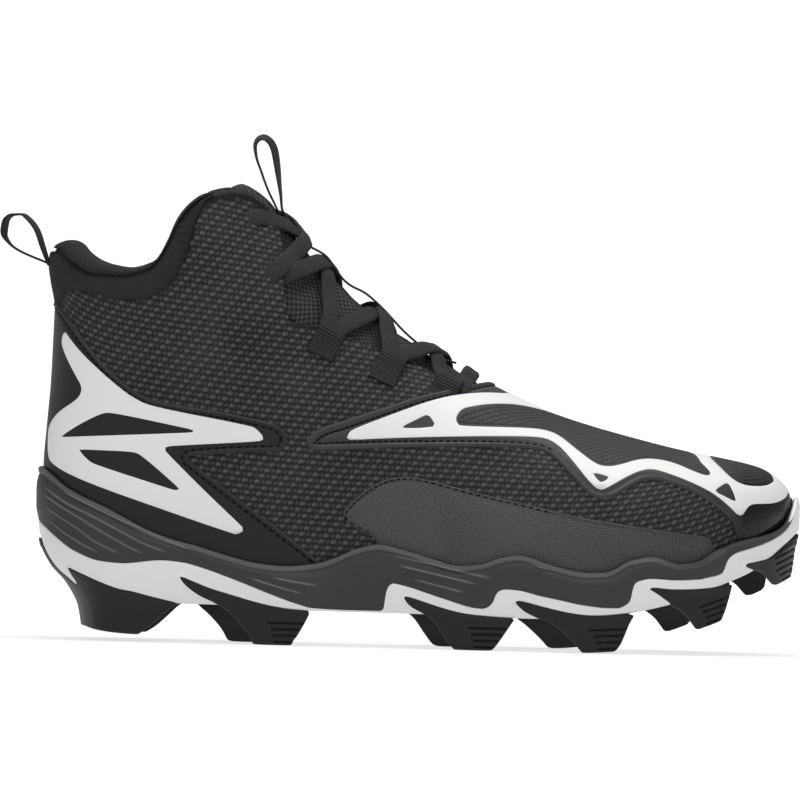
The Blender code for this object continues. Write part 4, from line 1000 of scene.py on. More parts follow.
# Overlays: outlines in the side view, as station and height
COUNTER_EDGE = [
    (-137.7, 131.8), (-135.6, 131.4), (-134.6, 130.6), (-131.0, 126.2), (-120.0, 111.5),
    (-109.0, 101.0), (-100.0, 95.4), (-89.0, 92.8), (-72.7, 91.0), (-54.6, 87.7), (-47.5, 85.7),
    (-44.5, 82.0), (-44.5, 77.5), (-47.0, 75.2), (-63.0, 74.8), (-84.0, 72.6), (-63.0, 57.0),
    (-48.0, 46.4), (-37.5, 38.6), (-30.4, 33.2),
]
COUNTER_FOOT = (-26.0, -137.7)
VAMP_EDGE = [
    (36.0, 104.0), (30.0, 103.2), (26.0, 102.3), (17.0, 100.5), (5.0, 97.6), (-4.0, 94.3),
    (-25.4, 87.0), (-31.4, 85.0), (-34.8, 82.0), (-36.2, 79.6), (-35.4, 77.2), (-33.0, 75.9),
    (-20.0, 76.6), (5.6, 78.4), (43.0, 79.3), (56.0, 78.5), (60.0, 76.6), (71.4, 64.9), (75.5, 61.0),
    (80.5, 59.6), (84.5, 60.7), (93.4, 66.4), (97.4, 68.0), (103.3, 67.7), (114.5, 63.9), (123.6, 59.1),
    (130.8, 52.6),
]
VAMP_FOOT = (134.5, 154.0)
# Where the vamp overlay crosses the ridge
VAMP_TOP = 38.0
PANEL_EDGE = [
    (-8.5, 42.6), (-19.3, 48.0), (-21.2, 51.8), (-20.6, 54.1), (-13.5, 61.0), (-6.1, 65.7), (2.1, 67.4),
    (9.7, 66.8), (28.6, 62.0), (56.4, 56.3), (71.7, 52.9), (96.8, 49.5), (121.9, 46.3),
]
PANEL_FOOT = (127.0, -6.0)
# How far the overlays' feet reach under the midsole's rim
FOOT_DEPTH = 4.0
# Height of a skin against the distance from its edge: a rolled edge, a sewn groove, then the face
SEWN_EDGE = [(0.0, -0.15), (0.3, 0.8), (0.8, 1.5), (1.5, 1.15), (2.3, 0.35), (3.1, 0.9), (3.8, 1.0)]
FLAT_EDGE = [(0.0, -0.1), (0.3, 0.6), (0.8, 1.0), (1.3, 0.3), (1.9, 0.75), (2.6, 0.8)]
SKIN_HEIGHT = 1.0
FILM_HEIGHT = 0.16


def foot_line(start, end, steps=24):
    """Points under the midsole's rim from one station to another."""
    return [(x, float(np.maximum(rim_top(x) - FOOT_DEPTH, feather(x) + 0.5)))
            for x in np.linspace(start, end, steps)]


def counter_outline():
    return both_sides(HEEL, [*rounded(COUNTER_EDGE), *foot_line(*COUNTER_FOOT)])


def vamp_outline():
    top = (VAMP_TOP, float(ridge(VAMP_TOP)))
    return both_sides(GIRTH, [top, *rounded(VAMP_EDGE), *foot_line(*VAMP_FOOT)])


def panel_outline(side):
    return on_map(GIRTH, [*rounded(PANEL_EDGE), *foot_line(*PANEL_FOOT)], side)


def build_overlays():
    counter = skin(counter_outline(), [], HEEL, SEWN_EDGE)
    mesh_piece("counter_skin", counter, ["moulded_skin"], ["heel_counter"])
    vamp = skin(vamp_outline(), [], GIRTH, SEWN_EDGE, flip=True)
    mesh_piece("vamp_skin", vamp, ["vamp_moulding"], ["vamp_overlay"])
    for side, word in SIDES:
        panel = skin(panel_outline(side), [], GIRTH, FLAT_EDGE, flip=True)
        mesh_piece(f"panel_skin_{word}", panel, ["grid_skin"], [f"side_panel_{word}"])


# White film: lateral halves of the outlines, then the places that stay bare within them
COUNTER_FILM = [
    (-132.1, 120.2), (-132.9, 115.6), (-124.4, 99.2), (-124.7, 96.0), (-126.9, 93.2), (-134.0, 88.0),
    (-137.0, 82.1), (-136.8, 71.3), (-135.3, 68.2), (-64.3, 42.8), (-61.6, 42.9), (-59.9, 45.2),
    (-92.3, 75.2), (-91.3, 76.5), (-54.4, 79.2), (-53.1, 80.5), (-55.9, 84.1), (-59.1, 85.4), (-98.0, 92.1),
    (-103.5, 94.7), (-109.0, 98.2), (-131.2, 120.2),
]
COUNTER_BARE = [
    [(-131.7, 79.3), (-117.0, 88.7), (-112.3, 89.2), (-80.3, 83.0), (-80.6, 82.2), (-130.9, 79.0)],
    [(-125.1, 74.4), (-104.8, 74.1), (-101.2, 73.1), (-85.6, 60.0), (-86.8, 59.2), (-118.2, 68.7),
     (-120.9, 69.9)],
]
VAMP_FILM = [
    (44.2, 99.0), (35.2, 99.8), (23.9, 99.1), (12.7, 96.6), (-2.2, 91.0), (-15.6, 85.7), (-19.3, 83.8),
    (-20.4, 80.5), (0.8, 81.8), (30.8, 82.9), (54.9, 83.1), (59.9, 81.7), (65.0, 77.9), (75.4, 65.5),
    (78.9, 63.1), (81.4, 63.7), (91.3, 69.5), (97.3, 71.6), (102.3, 71.1), (114.5, 66.9), (123.6, 62.7),
    (130.4, 57.3), (132.7, 54.8), (134.9, 54.9), (136.2, 57.6), (138.2, 59.2), (141.6, 59.3), (146.8, 59.5),
    (150.6, 60.9), (152.4, 62.8), (153.0, 64.5),
]
VAMP_ZONE = [
    (61.8, 91.5), (52.6, 94.1), (43.5, 95.5), (33.4, 95.2), (24.5, 93.4), (22.1, 89.8), (23.2, 86.8),
    (50.8, 86.4), (57.8, 85.6), (62.8, 83.7), (69.0, 78.9), (77.2, 73.0), (81.2, 72.1), (86.2, 72.7),
    (93.2, 75.0), (99.2, 75.5), (107.2, 74.3), (116.4, 70.5), (121.4, 69.1), (122.4, 70.6),
    (114.2, 78.0),
]
TOE_ZONE = [
    (121.2, 76.8), (125.3, 73.2), (130.4, 68.3), (135.5, 65.9), (143.5, 65.9), (147.3, 67.7),
    (146.2, 70.0),
]
VAMP_BARE = [
    [(0.7, 85.7), (11.5, 91.3), (14.8, 86.5)],
    [(75.7, 70.0), (83.2, 68.2), (79.4, 65.6)],
    [(123.3, 63.6), (128.9, 67.2), (132.5, 59.4)],
]
DOT_PITCH, DOT_RADIUS, DOT_DEPTH = 3.0, 0.82, 0.45
# Breadth of a pit's slope, and where the pits come in behind the zone's edge
DOT_SLOPE, DOT_INSET, DOT_FADE = 0.3, 1.5, 0.5
DOT_STEPS = 6
DOT_ROW = 3 * ROW_RATIO * DOT_PITCH / DOT_STEPS
# How far the films and zones reach under the skin's face
FILM_SINK = 0.1
FILM_EDGE = [(0.0, SKIN_HEIGHT - 0.1), (0.15, SKIN_HEIGHT + 0.7 * FILM_HEIGHT),
             (0.4, SKIN_HEIGHT + FILM_HEIGHT)]
ZONE_EDGE = [(0.0, SKIN_HEIGHT - 0.1), (0.5, SKIN_HEIGHT - 0.25), (1.0, SKIN_HEIGHT + 0.05),
             (1.6, SKIN_HEIGHT + 0.2)]
# Painted shadow in the groove along a zone's edge: how far in it reaches, its fade and its strength
ZONE_GROOVE_SHADOW = (1.1, 0.5, 0.9)


def dots(flat, edge):
    """Staggered rows of round pits over a zone, as a share of their depth."""
    row = np.round(flat[:, 1] / DOT_ROW)
    off = flat[:, 0] - DOT_PITCH / DOT_STEPS / 2 - DOT_PITCH / 2 * (row % 2)
    away = np.hypot(off - DOT_PITCH * np.round(off / DOT_PITCH), flat[:, 1] - row * DOT_ROW)
    return np.clip((DOT_RADIUS - away) / DOT_SLOPE, 0, 1) * np.clip((edge - DOT_INSET) / DOT_FADE, 0, 1)


def build_films():
    """The white film of the counter and the vamp, and the dotted zones that it frames."""
    parts = []
    for side, _ in SIDES:
        bare = [rounded(on_map(HEEL, rows, side), True) for rows in COUNTER_BARE]
        outline = rounded(on_map(HEEL, COUNTER_FILM, side), True)
        parts.append(skin(outline, bare, HEEL, FILM_EDGE, sink=FILM_SINK))
    mesh_piece("counter_film", joined(parts), ["white_film"])
    zones = [both_sides(GIRTH, rounded(rows)) for rows in (VAMP_ZONE, TOE_ZONE)]
    bare = [rounded(on_map(GIRTH, rows, side), True) for rows in VAMP_BARE for side, _ in SIDES]
    outline = both_sides(GIRTH, rounded(VAMP_FILM))
    film = skin(outline, zones + bare, GIRTH, FILM_EDGE, sink=FILM_SINK, flip=True)
    mesh_piece("vamp_film", film, ["white_film"])
    reach, fade_run, strength = ZONE_GROOVE_SHADOW
    for name, zone in zip(("vamp_zone", "toe_zone"), zones):
        made = skin(zone, [], GIRTH, ZONE_EDGE, spacing=DOT_PITCH / DOT_STEPS, sink=FILM_SINK,
                    relief=lambda flat, edge: -DOT_DEPTH * dots(flat, edge), flip=True)
        cloth = made[2]
        line = np.clip((reach - cloth[:, 2]) / fade_run, 0, strength)
        # Painted shade in the pits and painted shadow in the groove along the zone's edge, as the colour's
        # share of the highs
        cloth[:, 2] = 1 - np.maximum(dots(cloth[:, :2], cloth[:, 2]), line)
        mesh_piece(name, made, ["dotted_skin"])


# Stitches

STITCH_BREADTH, STITCH_THICK = 0.75, 0.5
# Seams of the sewn overlays and of the side panels: how far in from the edge they run, and how high
SEWN_STITCH, PANEL_STITCH = (2.3, 0.62), (1.0, 0.5)


def stitch(centre, along, normal, length):
    """One lens-shaped stitch on a surface."""
    across = np.cross(normal, along)
    sections = []
    for t in (-1.0, -0.6, 0.0, 0.6, 1.0):
        swell = math.sqrt(max(0.02, 1 - t * t))
        middle = centre + along * (t * length / 2) + normal * STITCH_THICK * (swell - 0.6)
        sections.append([middle + across * (math.cos(turn) * STITCH_BREADTH / 2 * swell)
                         + normal * (math.sin(turn) * STITCH_THICK / 2 * swell)
                         for turn in (k * math.pi / 3 for k in range(6))])
    points, faces = sweep(sections)
    return points, faces, points - centre


def stitch_run(path, flat_map, height):
    """Stitches along a flat path on a skin."""
    pitch, length = sizes().stitch_pitch / MM, sizes().stitch_length / MM
    path = spaced(path, pitch, closed=False)
    x, z, side = flat_map.place(path)
    points = upper_point(x, z, side, height)
    normals = upper_normal(x, z, side)
    made = []
    for k in range(1, len(points) - 1):
        along = points[k + 1] - points[k - 1]
        if np.linalg.norm(along) > 4 * pitch or not stitch_shows(x[k], z[k]):
            continue
        made.append(stitch(points[k], along / np.linalg.norm(along), normals[k], length))
    return made


# Ahead of this station, and this near the midsole's rim, the seams hide their stitches
STITCHES_TO, STITCHES_OVER = 60.0, 1.5


def stitch_shows(x, z):
    return z > rim_top(x) + STITCHES_OVER and x < STITCHES_TO


def build_stitches():
    rows = [(counter_outline(), HEEL, *SEWN_STITCH), (vamp_outline(), GIRTH, *SEWN_STITCH)]
    rows += [(panel_outline(side), GIRTH, *PANEL_STITCH) for side, _ in SIDES]
    made = []
    for outline, flat_map, inset, height in rows:
        made += stitch_run(inset_path(spaced(outline, 0.8), inset), flat_map, height)
    mesh_piece("skin_stitches", joined(made), ["stitch_thread"])


# Collar

COLLAR_FRONT, COLLAR_STEP = -75.0, 1.6
# Thickness of the pad, its share at the front, and where and over what run it thins towards there
COLLAR_PAD, COLLAR_THIN, THIN_FROM, THIN_RUN = 6.5, 0.35, -78.0, 18.0
# Swell of the band under the roll, and how far the heel's strip presses it in, over what half-width
BAND_SWELL, BAND_PRESS, PRESS_HALF = 2.2, 1.6, 10.0
# Depth of the band's sewn edges, and how far the lower one lies under the upper's edge
BAND_SEWN, BAND_UNDER = (-0.6, -0.9), 0.8
# How far the lining reaches under the band, its depth inside, and the share of that lost on its way down
LINING_DOWN, LINING_IN, LINING_TAPER = 4.0, 1.5, 0.55
BAND_ROWS, ROLL_ROWS, LINING_ROWS = 9, 13, 7
# The webbing up the collar's back, on the heel's flat map, and its edge
HEEL_STRIP = [(-5.6, 128.5), (5.6, 128.5), (5.4, 140.0), (5.2, 151.6), (-5.2, 151.6), (-5.4, 140.0)]
STRIP_EDGE = [(0.0, 0.2), (0.4, 0.9), (1.0, 1.1)]


def build_collar():
    """A padded knit band, with a sewn line under its roll, from one side's front round the heel."""
    run = np.arange(0.0, run_of(COLLAR_FRONT), COLLAR_STEP)
    stations = np.append(station_of(run), COLLAR_FRONT)
    x = np.concatenate([stations[::-1], stations[1:]])
    side = np.concatenate([np.full(len(stations), LATERAL), np.full(len(stations) - 1, MEDIAL)])
    low, high, seam = throat_edge(x) - BAND_UNDER, collar_top(x), collar_seam(x)
    pad = COLLAR_PAD * (COLLAR_THIN + (1 - COLLAR_THIN) * ease((THIN_FROM - x) / THIN_RUN))
    columns, cloth = [], []
    lengths = np.concatenate([-run_of(stations[::-1]), run_of(stations[1:])])
    for k in range(len(x)):
        t = np.linspace(0, 1, BAND_ROWS)
        tall = seam[k] - low[k]
        swell = BAND_SWELL - BAND_PRESS * math.exp(-(lengths[k] / PRESS_HALF) ** 2)
        cuff = np.column_stack([low[k] + tall * t, 0.1 + swell * np.sin(np.pi * t) ** 0.6])
        cuff[0, 1], cuff[-1, 1] = BAND_SEWN
        turn = np.linspace(0.12, np.pi, ROLL_ROWS)
        rise = np.sin(turn) ** 0.75
        out = -pad[k] / 2 + (pad[k] / 2 + 0.9 * swell) * np.cos(turn)
        roll = np.column_stack([seam[k] + (high[k] - seam[k]) * rise, out])
        t = np.linspace(0.1, 1, LINING_ROWS)
        deep = (pad[k] + LINING_IN) * (1 - LINING_TAPER * t ** 2)
        inner = np.column_stack([seam[k] - (tall + LINING_DOWN) * t, -deep])
        profile = np.concatenate([cuff, roll, inner])
        columns.append(upper_point(x[k], profile[:, 0], side[k], profile[:, 1]))
        across = run_along(columns[-1])
        cloth.append(np.column_stack([across + 0.5 * lengths[k], lengths[k] - 0.5 * across, across]))
    points, faces = sweep(columns)
    made = points, [face[::-1] for face in faces], np.concatenate(cloth)
    piece = mesh_piece("collar_pad", made, ["lining_knit"], ["collar"])
    strip = skin(rounded(HEEL_STRIP, True), [], HEEL, STRIP_EDGE, spacing=1.2)
    mesh_piece("heel_strip", strip, ["plain_webbing"])


# Tongue, laces and webbing

RIDGE_TOP, RIDGE_FRONT = -57.5, 47.0
# The tongue: ridge station, half-width, and how far it lies under the form
TONGUE_ROWS = [
    (47.0, 12.0, 3.9), (40.0, 15.0, 3.9), (33.0, 17.5, 2.4), (24.0, 20.0, 1.2), (12.0, 22.0, 1.0),
    (0.0, 23.5, 1.0), (-12.0, 25.0, 1.0), (-24.0, 26.0, 1.0), (-34.0, 26.5, 1.0), (-43.0, 26.5, 1.0),
    (-50.0, 26.0, 1.0), (-57.0, 24.0, 1.0),
]
TONGUE_THICK = 4.0
# How far the tongue lies under the form where the eyestays cover it, and where across that begins
EYESTAY_SINK, EYESTAY_FROM, EYESTAY_RUN = 3.9, 6.0, 7.0
# The bound top edge: the station where it begins, its length, and how far it rolls in
TONGUE_BIND, TONGUE_BIND_RUN, TONGUE_ROLL = -49.0, 8.0, 3.0
# The top edge's curve: its rise halfway to the sides, its fall at them, and the run over which it comes in
TONGUE_RISE, TONGUE_FALL, TONGUE_CURVE, TONGUE_CURVE_RUN = 2.4, 14.0, -38.0, 19.0
# Quilting between the laces: height, pitch and half-width
QUILT = (0.35, 14.0, 9.0)
tongue_half, tongue_sink = curve(TONGUE_ROWS, 0, 1), curve(TONGUE_ROWS, 0, 2)


def ridge_frame(x):
    """Points of the ridge, with their outward normals in the side view."""
    step = 0.5
    tangent = unit(np.stack([2 * step + 0 * x, ridge(x + step) - ridge(x - step)], -1))
    return x, ridge(x), -tangent[..., 1], tangent[..., 0]


def crown_place(x, across):
    """Station, height and side of points over the throat, from the ridge's station and the way across."""
    x, across = np.broadcast_arrays(np.asarray(x, float), np.asarray(across, float))
    base_x, base_z, normal_x, normal_z = ridge_frame(x)
    side = by_side(across, LATERAL, MEDIAL)

    def short(depth):
        return half_width(base_x - normal_x * depth, base_z - normal_z * depth, side) < np.abs(across)

    _, far = halved(np.zeros(x.shape), np.full(x.shape, 60.0), short, 36)
    return base_x - normal_x * far, base_z - normal_z * far, side


def crown_point(x, across, lift=0.0):
    at_x, at_z, side = crown_place(x, across)
    return upper_point(at_x, at_z, side, lift)


def build_tongue():
    """A padded sheet under the eyestays that swells between them, with a bound top edge."""
    x = np.concatenate([np.linspace(47.0, -48.0, 66), np.linspace(-49.0, -57.0, 12)])
    spans = np.linspace(-1, 1, 37)
    across = tongue_half(x)[:, None] * spans
    over = np.clip((TONGUE_BIND - x[:, None]) / TONGUE_BIND_RUN, 0, 1)
    sink = tongue_sink(x)[:, None]
    sink = sink + (EYESTAY_SINK - sink) * ease((np.abs(across) - EYESTAY_FROM) / EYESTAY_RUN)
    sink = sink + TONGUE_ROLL * (1 - np.sqrt(1 - 0.96 * over ** 2))
    wide = np.abs(spans)
    rise = TONGUE_RISE * np.sin(np.pi * np.minimum(wide, 0.5)) - TONGUE_FALL * np.maximum(wide - 0.5, 0.0)
    at = x[:, None] - ease((TONGUE_CURVE - x[:, None]) / TONGUE_CURVE_RUN) * (rise - 0.6)
    tall, pitch, half = QUILT
    quilt = tall * np.sin(x[:, None] * 2 * np.pi / pitch) * np.exp(-(across / half) ** 2)
    edge = (1 - 0.6 * np.abs(spans) ** 6) * (1 - 0.7 * over ** 3)
    top = crown_point(at, across, -sink + quilt - TONGUE_THICK * (1 - edge) / 2)
    under = crown_point(at, across, -sink - TONGUE_THICK * (1 + edge) / 2)
    cloth = stacked(x[:, None], across, 0.5)
    cloth = np.concatenate([cloth, cloth[:, ::-1]], 1).reshape(-1, 3)
    made = *sweep(np.concatenate([top, under[:, ::-1]], 1)), cloth
    piece = mesh_piece("tongue_pad", made, ["tongue_mesh"], ["tongue"])


def band(path, ups, width, thickness, ring=10, crown=0.35, round_out=0.5):
    """A flat woven band along a path, thin at its edges. Returns points, faces and cloth coordinates."""
    path, ups = np.asarray(path, float), unit(np.asarray(ups, float))
    ahead = unit(np.gradient(path, axis=0))
    out = unit(np.cross(ups, ahead))
    ups = np.cross(ahead, out)
    turn = np.arange(ring) * 2 * np.pi / ring
    shape_out = np.sign(np.cos(turn)) * np.abs(np.cos(turn)) ** round_out * width / 2
    shape_up = np.sign(np.sin(turn)) * np.abs(np.sin(turn)) ** crown * thickness / 2
    sections = path[:, None] + out[:, None] * shape_out[:, None] + ups[:, None] * shape_up[:, None]
    cloth = stacked(run_along(path)[:, None], shape_out, 0.5)
    return *sweep(sections), cloth.reshape(-1, 3)


def smooth_path(points, step):
    """A smooth path through points, evenly spaced."""
    points = np.asarray(points, float)
    run = run_along(points)
    at = np.linspace(0, run[-1], max(8, round(run[-1] / step)))
    return np.stack([curve(list(zip(run, points[:, k])))(at) for k in range(points.shape[1])], 1)


# Lacing of the lateral side, from the vamp up: station, height
LOOPS = [(17.6, 101.6), (-4.6, 110.8), (-29.0, 120.4)]
EYELETS = [(-53.4, 142.4), (-61.6, 165.8)]
# Where a lace goes under the edge of the eyestay on its way to the lower eyelet
EYESTAY_EDGE = (-47.5, 143.6)
# Ridge stations where the laces cross
CROSSINGS = [12.5, -9.5, -31.0, -39.5]
# Webbing tabs: half-length along and down, width, thickness, and how far their middle lies under the lace
TAB_HALF, TAB_WIDTH, TAB_THICK, TAB_DOWN = (2.4, 5.4), 11.0, 1.5, 1.6
# How far ahead of the first loops the lace's bar lies, and its share of their width
LACE_BAR_AHEAD, LACE_BAR_SHARE = 5.5, 0.98
# Heights of the lace over the form: its bar's ends and middle; in a loop, where it crosses below and how much
# higher above; under the eyestay's edge, and in an eyelet
LACE_BAR_LIFTS = (0.2, 1.3, 0.2)
LACE_IN_LOOP, LACE_UNDER, LACE_OVER, LACE_TUCK, LACE_IN_EYELET = 0.6, 1.0, 1.5, -3.0, -1.5
# How far the last run of lace bows up towards the top eyelets
LACE_ARCH = 2.0


def lace_row(place, side):
    """The ridge station and the way across of a lacing place."""
    x = np.linspace(RIDGE_FRONT, RIDGE_TOP - 6, 800)
    base_x, base_z, normal_x, normal_z = ridge_frame(x)
    off = np.abs((place[0] - base_x) * normal_z - (place[1] - base_z) * normal_x)
    return x[np.argmin(off)], side * float(half_width(place[0], place[1], side))


def lace_strand(start, middle, end, lifts, arch=0.0):
    """One run of lace over the tongue. Lifts are the heights at its start, middle and end."""
    t = np.linspace(0, 1, 40)
    x = curve([(0.0, start[0]), (0.5, middle), (1.0, end[0])])(t)
    x = x - arch * np.sin(np.pi * np.clip(2 * t - 1, 0, 1))
    across = start[1] + (end[1] - start[1]) * t
    near = lifts[1] - 0.5
    lift = curve([(0.0, lifts[0]), (0.1, near), (0.5, lifts[1]), (0.9, near), (1.0, lifts[2])])(t)
    lift = lift - 1.6 * ease((np.abs(across) - 7.0) / 7.0) * ease((0.42 - np.abs(t - 0.5)) / 0.2)
    path = crown_point(x, across, lift)
    ups = unit(crown_point(x, across, lift + 1.0) - path)
    width, thickness = sizes().lace_width / MM, sizes().lace_thickness / MM
    return band(path, ups, width, thickness, ring=16, crown=0.8, round_out=0.7)


def build_laces():
    """A bar at the vamp, then a crossing between each pair of rows, tucked into loops and eyelets."""
    places = LOOPS + EYELETS
    rows = [{side: lace_row(place, side) for side, _ in SIDES} for place in places]
    tucked = {side: lace_row(EYESTAY_EDGE, side) for side, _ in SIDES}
    bar = [(rows[0][side][0] + LACE_BAR_AHEAD, rows[0][side][1] * LACE_BAR_SHARE) for side, _ in SIDES]
    strand = lace_strand(bar[0], bar[0][0], bar[1], LACE_BAR_LIFTS)
    mesh_piece("lace_vamp_bar", strand, ["flat_lace"], ["lace_bar"])
    for k, (low, high) in enumerate(zip(rows, rows[1:]), 1):
        parts = []
        for side, over in ((LATERAL, 0.0), (MEDIAL, 1.0)):
            over = over if k % 2 else 1.0 - over
            start, end = low[side], high[-side]
            lifts = [LACE_IN_LOOP, LACE_UNDER + LACE_OVER * over, LACE_IN_LOOP]
            if k == len(LOOPS):
                end, lifts[2] = tucked[-side], LACE_TUCK
            if k > len(LOOPS):
                lifts[0] = lifts[2] = LACE_IN_EYELET
            arch = LACE_ARCH if k > len(LOOPS) else 0.0
            parts.append(lace_strand(start, CROSSINGS[k - 1], end, lifts, arch))
        mesh_piece(f"lace_crossing_{k}", joined(parts), ["flat_lace"], [f"lace_cross_{k}"])


def build_lace_loops():
    """Short ribbed webbing tabs that hold the lace along the vamp, folded over it at their tops."""
    for side, word in SIDES:
        for number, (x, z) in enumerate(LOOPS, 1):
            t = np.linspace(-1.08, 1.08, 24)
            under = 1.0 if number == 1 else 0.0
            lift = 1.2 + 1.5 * np.exp(-((t + 0.55) / 0.42) ** 2) - 1.8 * np.clip((-0.95 - t) / 0.13, 0, 1)
            lift = lift - (0.5 + 1.0 * under) * ease((t - 0.1 + 0.5 * under) / 0.8)
            at_x, at_z = x - TAB_HALF[0] * t, z - TAB_DOWN - TAB_HALF[1] * (t - 0.25 * under * (t + 1))
            path = upper_point(at_x, at_z, side, lift)
            ups = upper_normal(at_x, at_z, np.full(len(t), side))
            tab = band(path, ups, TAB_WIDTH, TAB_THICK, ring=16, crown=0.25)
            mesh_piece(f"lace_tab_{word}_{number}", tab, ["ribbed_webbing"],
                       [f"lace_loop_{word}_{number}"])


# Webbing loops in the side view, as station and height
HEEL_LOOP = [
    (-137.6, 146.0), (-139.1, 146.9), (-144.3, 148.9), (-149.9, 151.3), (-153.6, 153.8), (-156.3, 158.4),
    (-155.7, 162.9), (-153.0, 165.4), (-149.7, 165.7), (-146.4, 163.6), (-143.2, 159.3), (-141.2, 153.8),
    (-139.4, 148.9), (-138.2, 146.0),
]
# How far the loops turn, in radians, by the share of their length
HEEL_LOOP_TWIST = [(0.0, 0.0), (0.28, 0.02), (0.42, 0.24), (0.6, 0.2), (0.85, 0.17), (1.0, 0.08)]
TONGUE_LOOP = [
    (-48.4, 167.6), (-50.2, 171.4), (-53.3, 177.5), (-56.2, 184.9), (-58.3, 190.9), (-58.8, 194.7),
    (-57.7, 197.3), (-55.7, 198.2), (-53.0, 196.7), (-51.2, 193.4), (-50.1, 188.1), (-49.2, 182.1),
    (-48.3, 176.1), (-47.6, 170.1),
]
TONGUE_LOOP_ROLL = [(0.0, 0.0), (0.14, 0.03), (0.19, 0.14), (0.22, 0.25), (0.26, 0.3), (0.31, 0.24),
                    (0.36, 0.1), (0.41, 0.02), (1.0, 0.0)]
STRAP = [
    (-46.4, 168.0), (-41.0, 160.2), (-38.0, 156.9), (-30.2, 152.4), (-22.9, 143.2), (-20.1, 141.0),
    (-14.4, 138.2), (-7.2, 132.2), (1.3, 123.5), (7.2, 118.6), (15.0, 113.4), (22.0, 111.6),
]
STRAP_WIDTH = 8.0


def side_band(points, width, turns, thickness, rolled=False):
    """A webbing band whose width runs across the shoe, turned about the upright, or rolled about its path."""
    path = smooth_path(points, 1.0)
    path = np.stack([path[:, 0], spine(path[:, 0]), path[:, 1]], 1)
    ahead = np.gradient(path, axis=0)
    turn = curve(turns)(np.linspace(0, 1, len(path)))[:, None]
    aside = np.array([1.0, 0.0, 0.0])
    if rolled:
        aside = unit(np.stack([-ahead[:, 2], 0 * ahead[:, 0], ahead[:, 0]], 1))
    axis = np.sin(turn) * aside + np.cos(turn) * np.array([0.0, 1.0, 0.0])
    ups = unit(np.cross(ahead, axis))
    return band(path, ups, width, thickness, ring=14, crown=0.3)


def build_webbing():
    """The pull loops, and the strap that runs from one of them down the tongue over the crossings."""
    width, thick = sizes().loop_width / MM, sizes().webbing_thickness / MM
    loop = side_band(HEEL_LOOP, width, HEEL_LOOP_TWIST, thick)
    mesh_piece("heel_loop_webbing", loop, ["plain_webbing"], ["heel_loop"])
    strap = side_band(TONGUE_LOOP + STRAP, STRAP_WIDTH, TONGUE_LOOP_ROLL, thick, True)
    mesh_piece("strap_webbing", strap, ["plain_webbing"], ["tongue_strap"])


# Insole, midsole, plate and studs

# Thickness of the insole, how far it stands in from the upper, and how far its edge cups up
INSOLE, INSOLE_INSET, INSOLE_CUP = 4.0, 4.0, 1.4


def build_insole():
    """A thin cupped footbed inside the upper."""
    middle = (HEEL_UPPER + TOE_UPPER) / 2
    shrink = 1 - 2 * (INSOLE_INSET + 0.4) / (TOE_UPPER - HEEL_UPPER)
    stations = upper_station(sole_stations(3.0)[1:-1])
    at = middle + (stations - middle) * shrink
    low = np.maximum(feather(at), feather(stations)) - 0.1
    spans = np.linspace(-1, 1, 29)
    side = by_side(spans, LATERAL, MEDIAL)
    keep = 1 - INSOLE_INSET / (plan_half(stations[:, None], side) - UPPER_INSET)
    half = half_width(stations[:, None], feather(stations)[:, None] + INSOLE / 2, side) * keep
    y = spine(stations)[:, None] + np.abs(spans) * side * half
    cup = INSOLE_CUP * np.abs(spans) ** 6
    top = stacked(at[:, None], y, low[:, None] + INSOLE - 0.8 + cup)
    under = stacked(at[:, None], y, low[:, None] + 0 * y)
    points, faces = sweep(np.concatenate([top, under[:, ::-1]], 1))
    mesh_piece("insole_sheet", (points, faces, points), ["insole_cloth"], ["insole"])


# Raised lines of the midsole's wall in the side view, as station and height
WALL_LINES = [
    [(-130.0, 57.5), (-120.1, 52.8), (-107.6, 47.1), (-101.1, 44.7), (-92.5, 41.1), (-80.1, 36.5)],
    [(-137.3, 59.0), (-129.9, 53.8), (-120.0, 49.0), (-108.4, 43.3), (-98.4, 38.4), (-89.4, 35.2)],
    [(-138.1, 56.6), (-131.2, 52.1), (-122.5, 46.8), (-113.9, 41.9), (-105.2, 37.4), (-98.8, 34.5)],
    [(-136.9, 51.4), (-131.1, 47.4), (-124.6, 43.3), (-118.1, 38.8), (-111.6, 35.7), (-108.2, 34.3)],
    [(-136.4, 46.4), (-131.8, 42.7), (-126.6, 39.4), (-121.4, 36.6), (-117.1, 34.5)],
    [(-47.0, 26.2), (-40.0, 25.0), (-30.0, 23.6)], [(-56.0, 25.8), (-44.0, 22.4), (-36.0, 20.4)],
    [(-0.5, 36.2), (18.0, 32.3), (37.5, 28.2)], [(2.0, 32.2), (17.0, 29.0), (31.8, 25.8)],
    [(8.0, 27.0), (17.5, 24.8), (27.2, 22.5)],
    [(52.6, 34.3), (60.4, 31.8)],
]
LINE_BREADTH = 0.32
# The bead under the rim, the groove below it, and where both end towards the toe
BEAD_BREADTH, BEAD_HEIGHT = 1.9, 0.4
GROOVE_DOWN, GROOVE_BREADTH, GROOVE_SHARE = 0.7, 0.45, 0.5
BEAD_TO, BEAD_RUN = 118.0, 20.0
WALL_ROWS, WALL_STEP = 84, 1.3
PLATE_STEP = 1.1
# From here on the rand may rise over the midsole's rim
TOE_BUMPER = 150.0


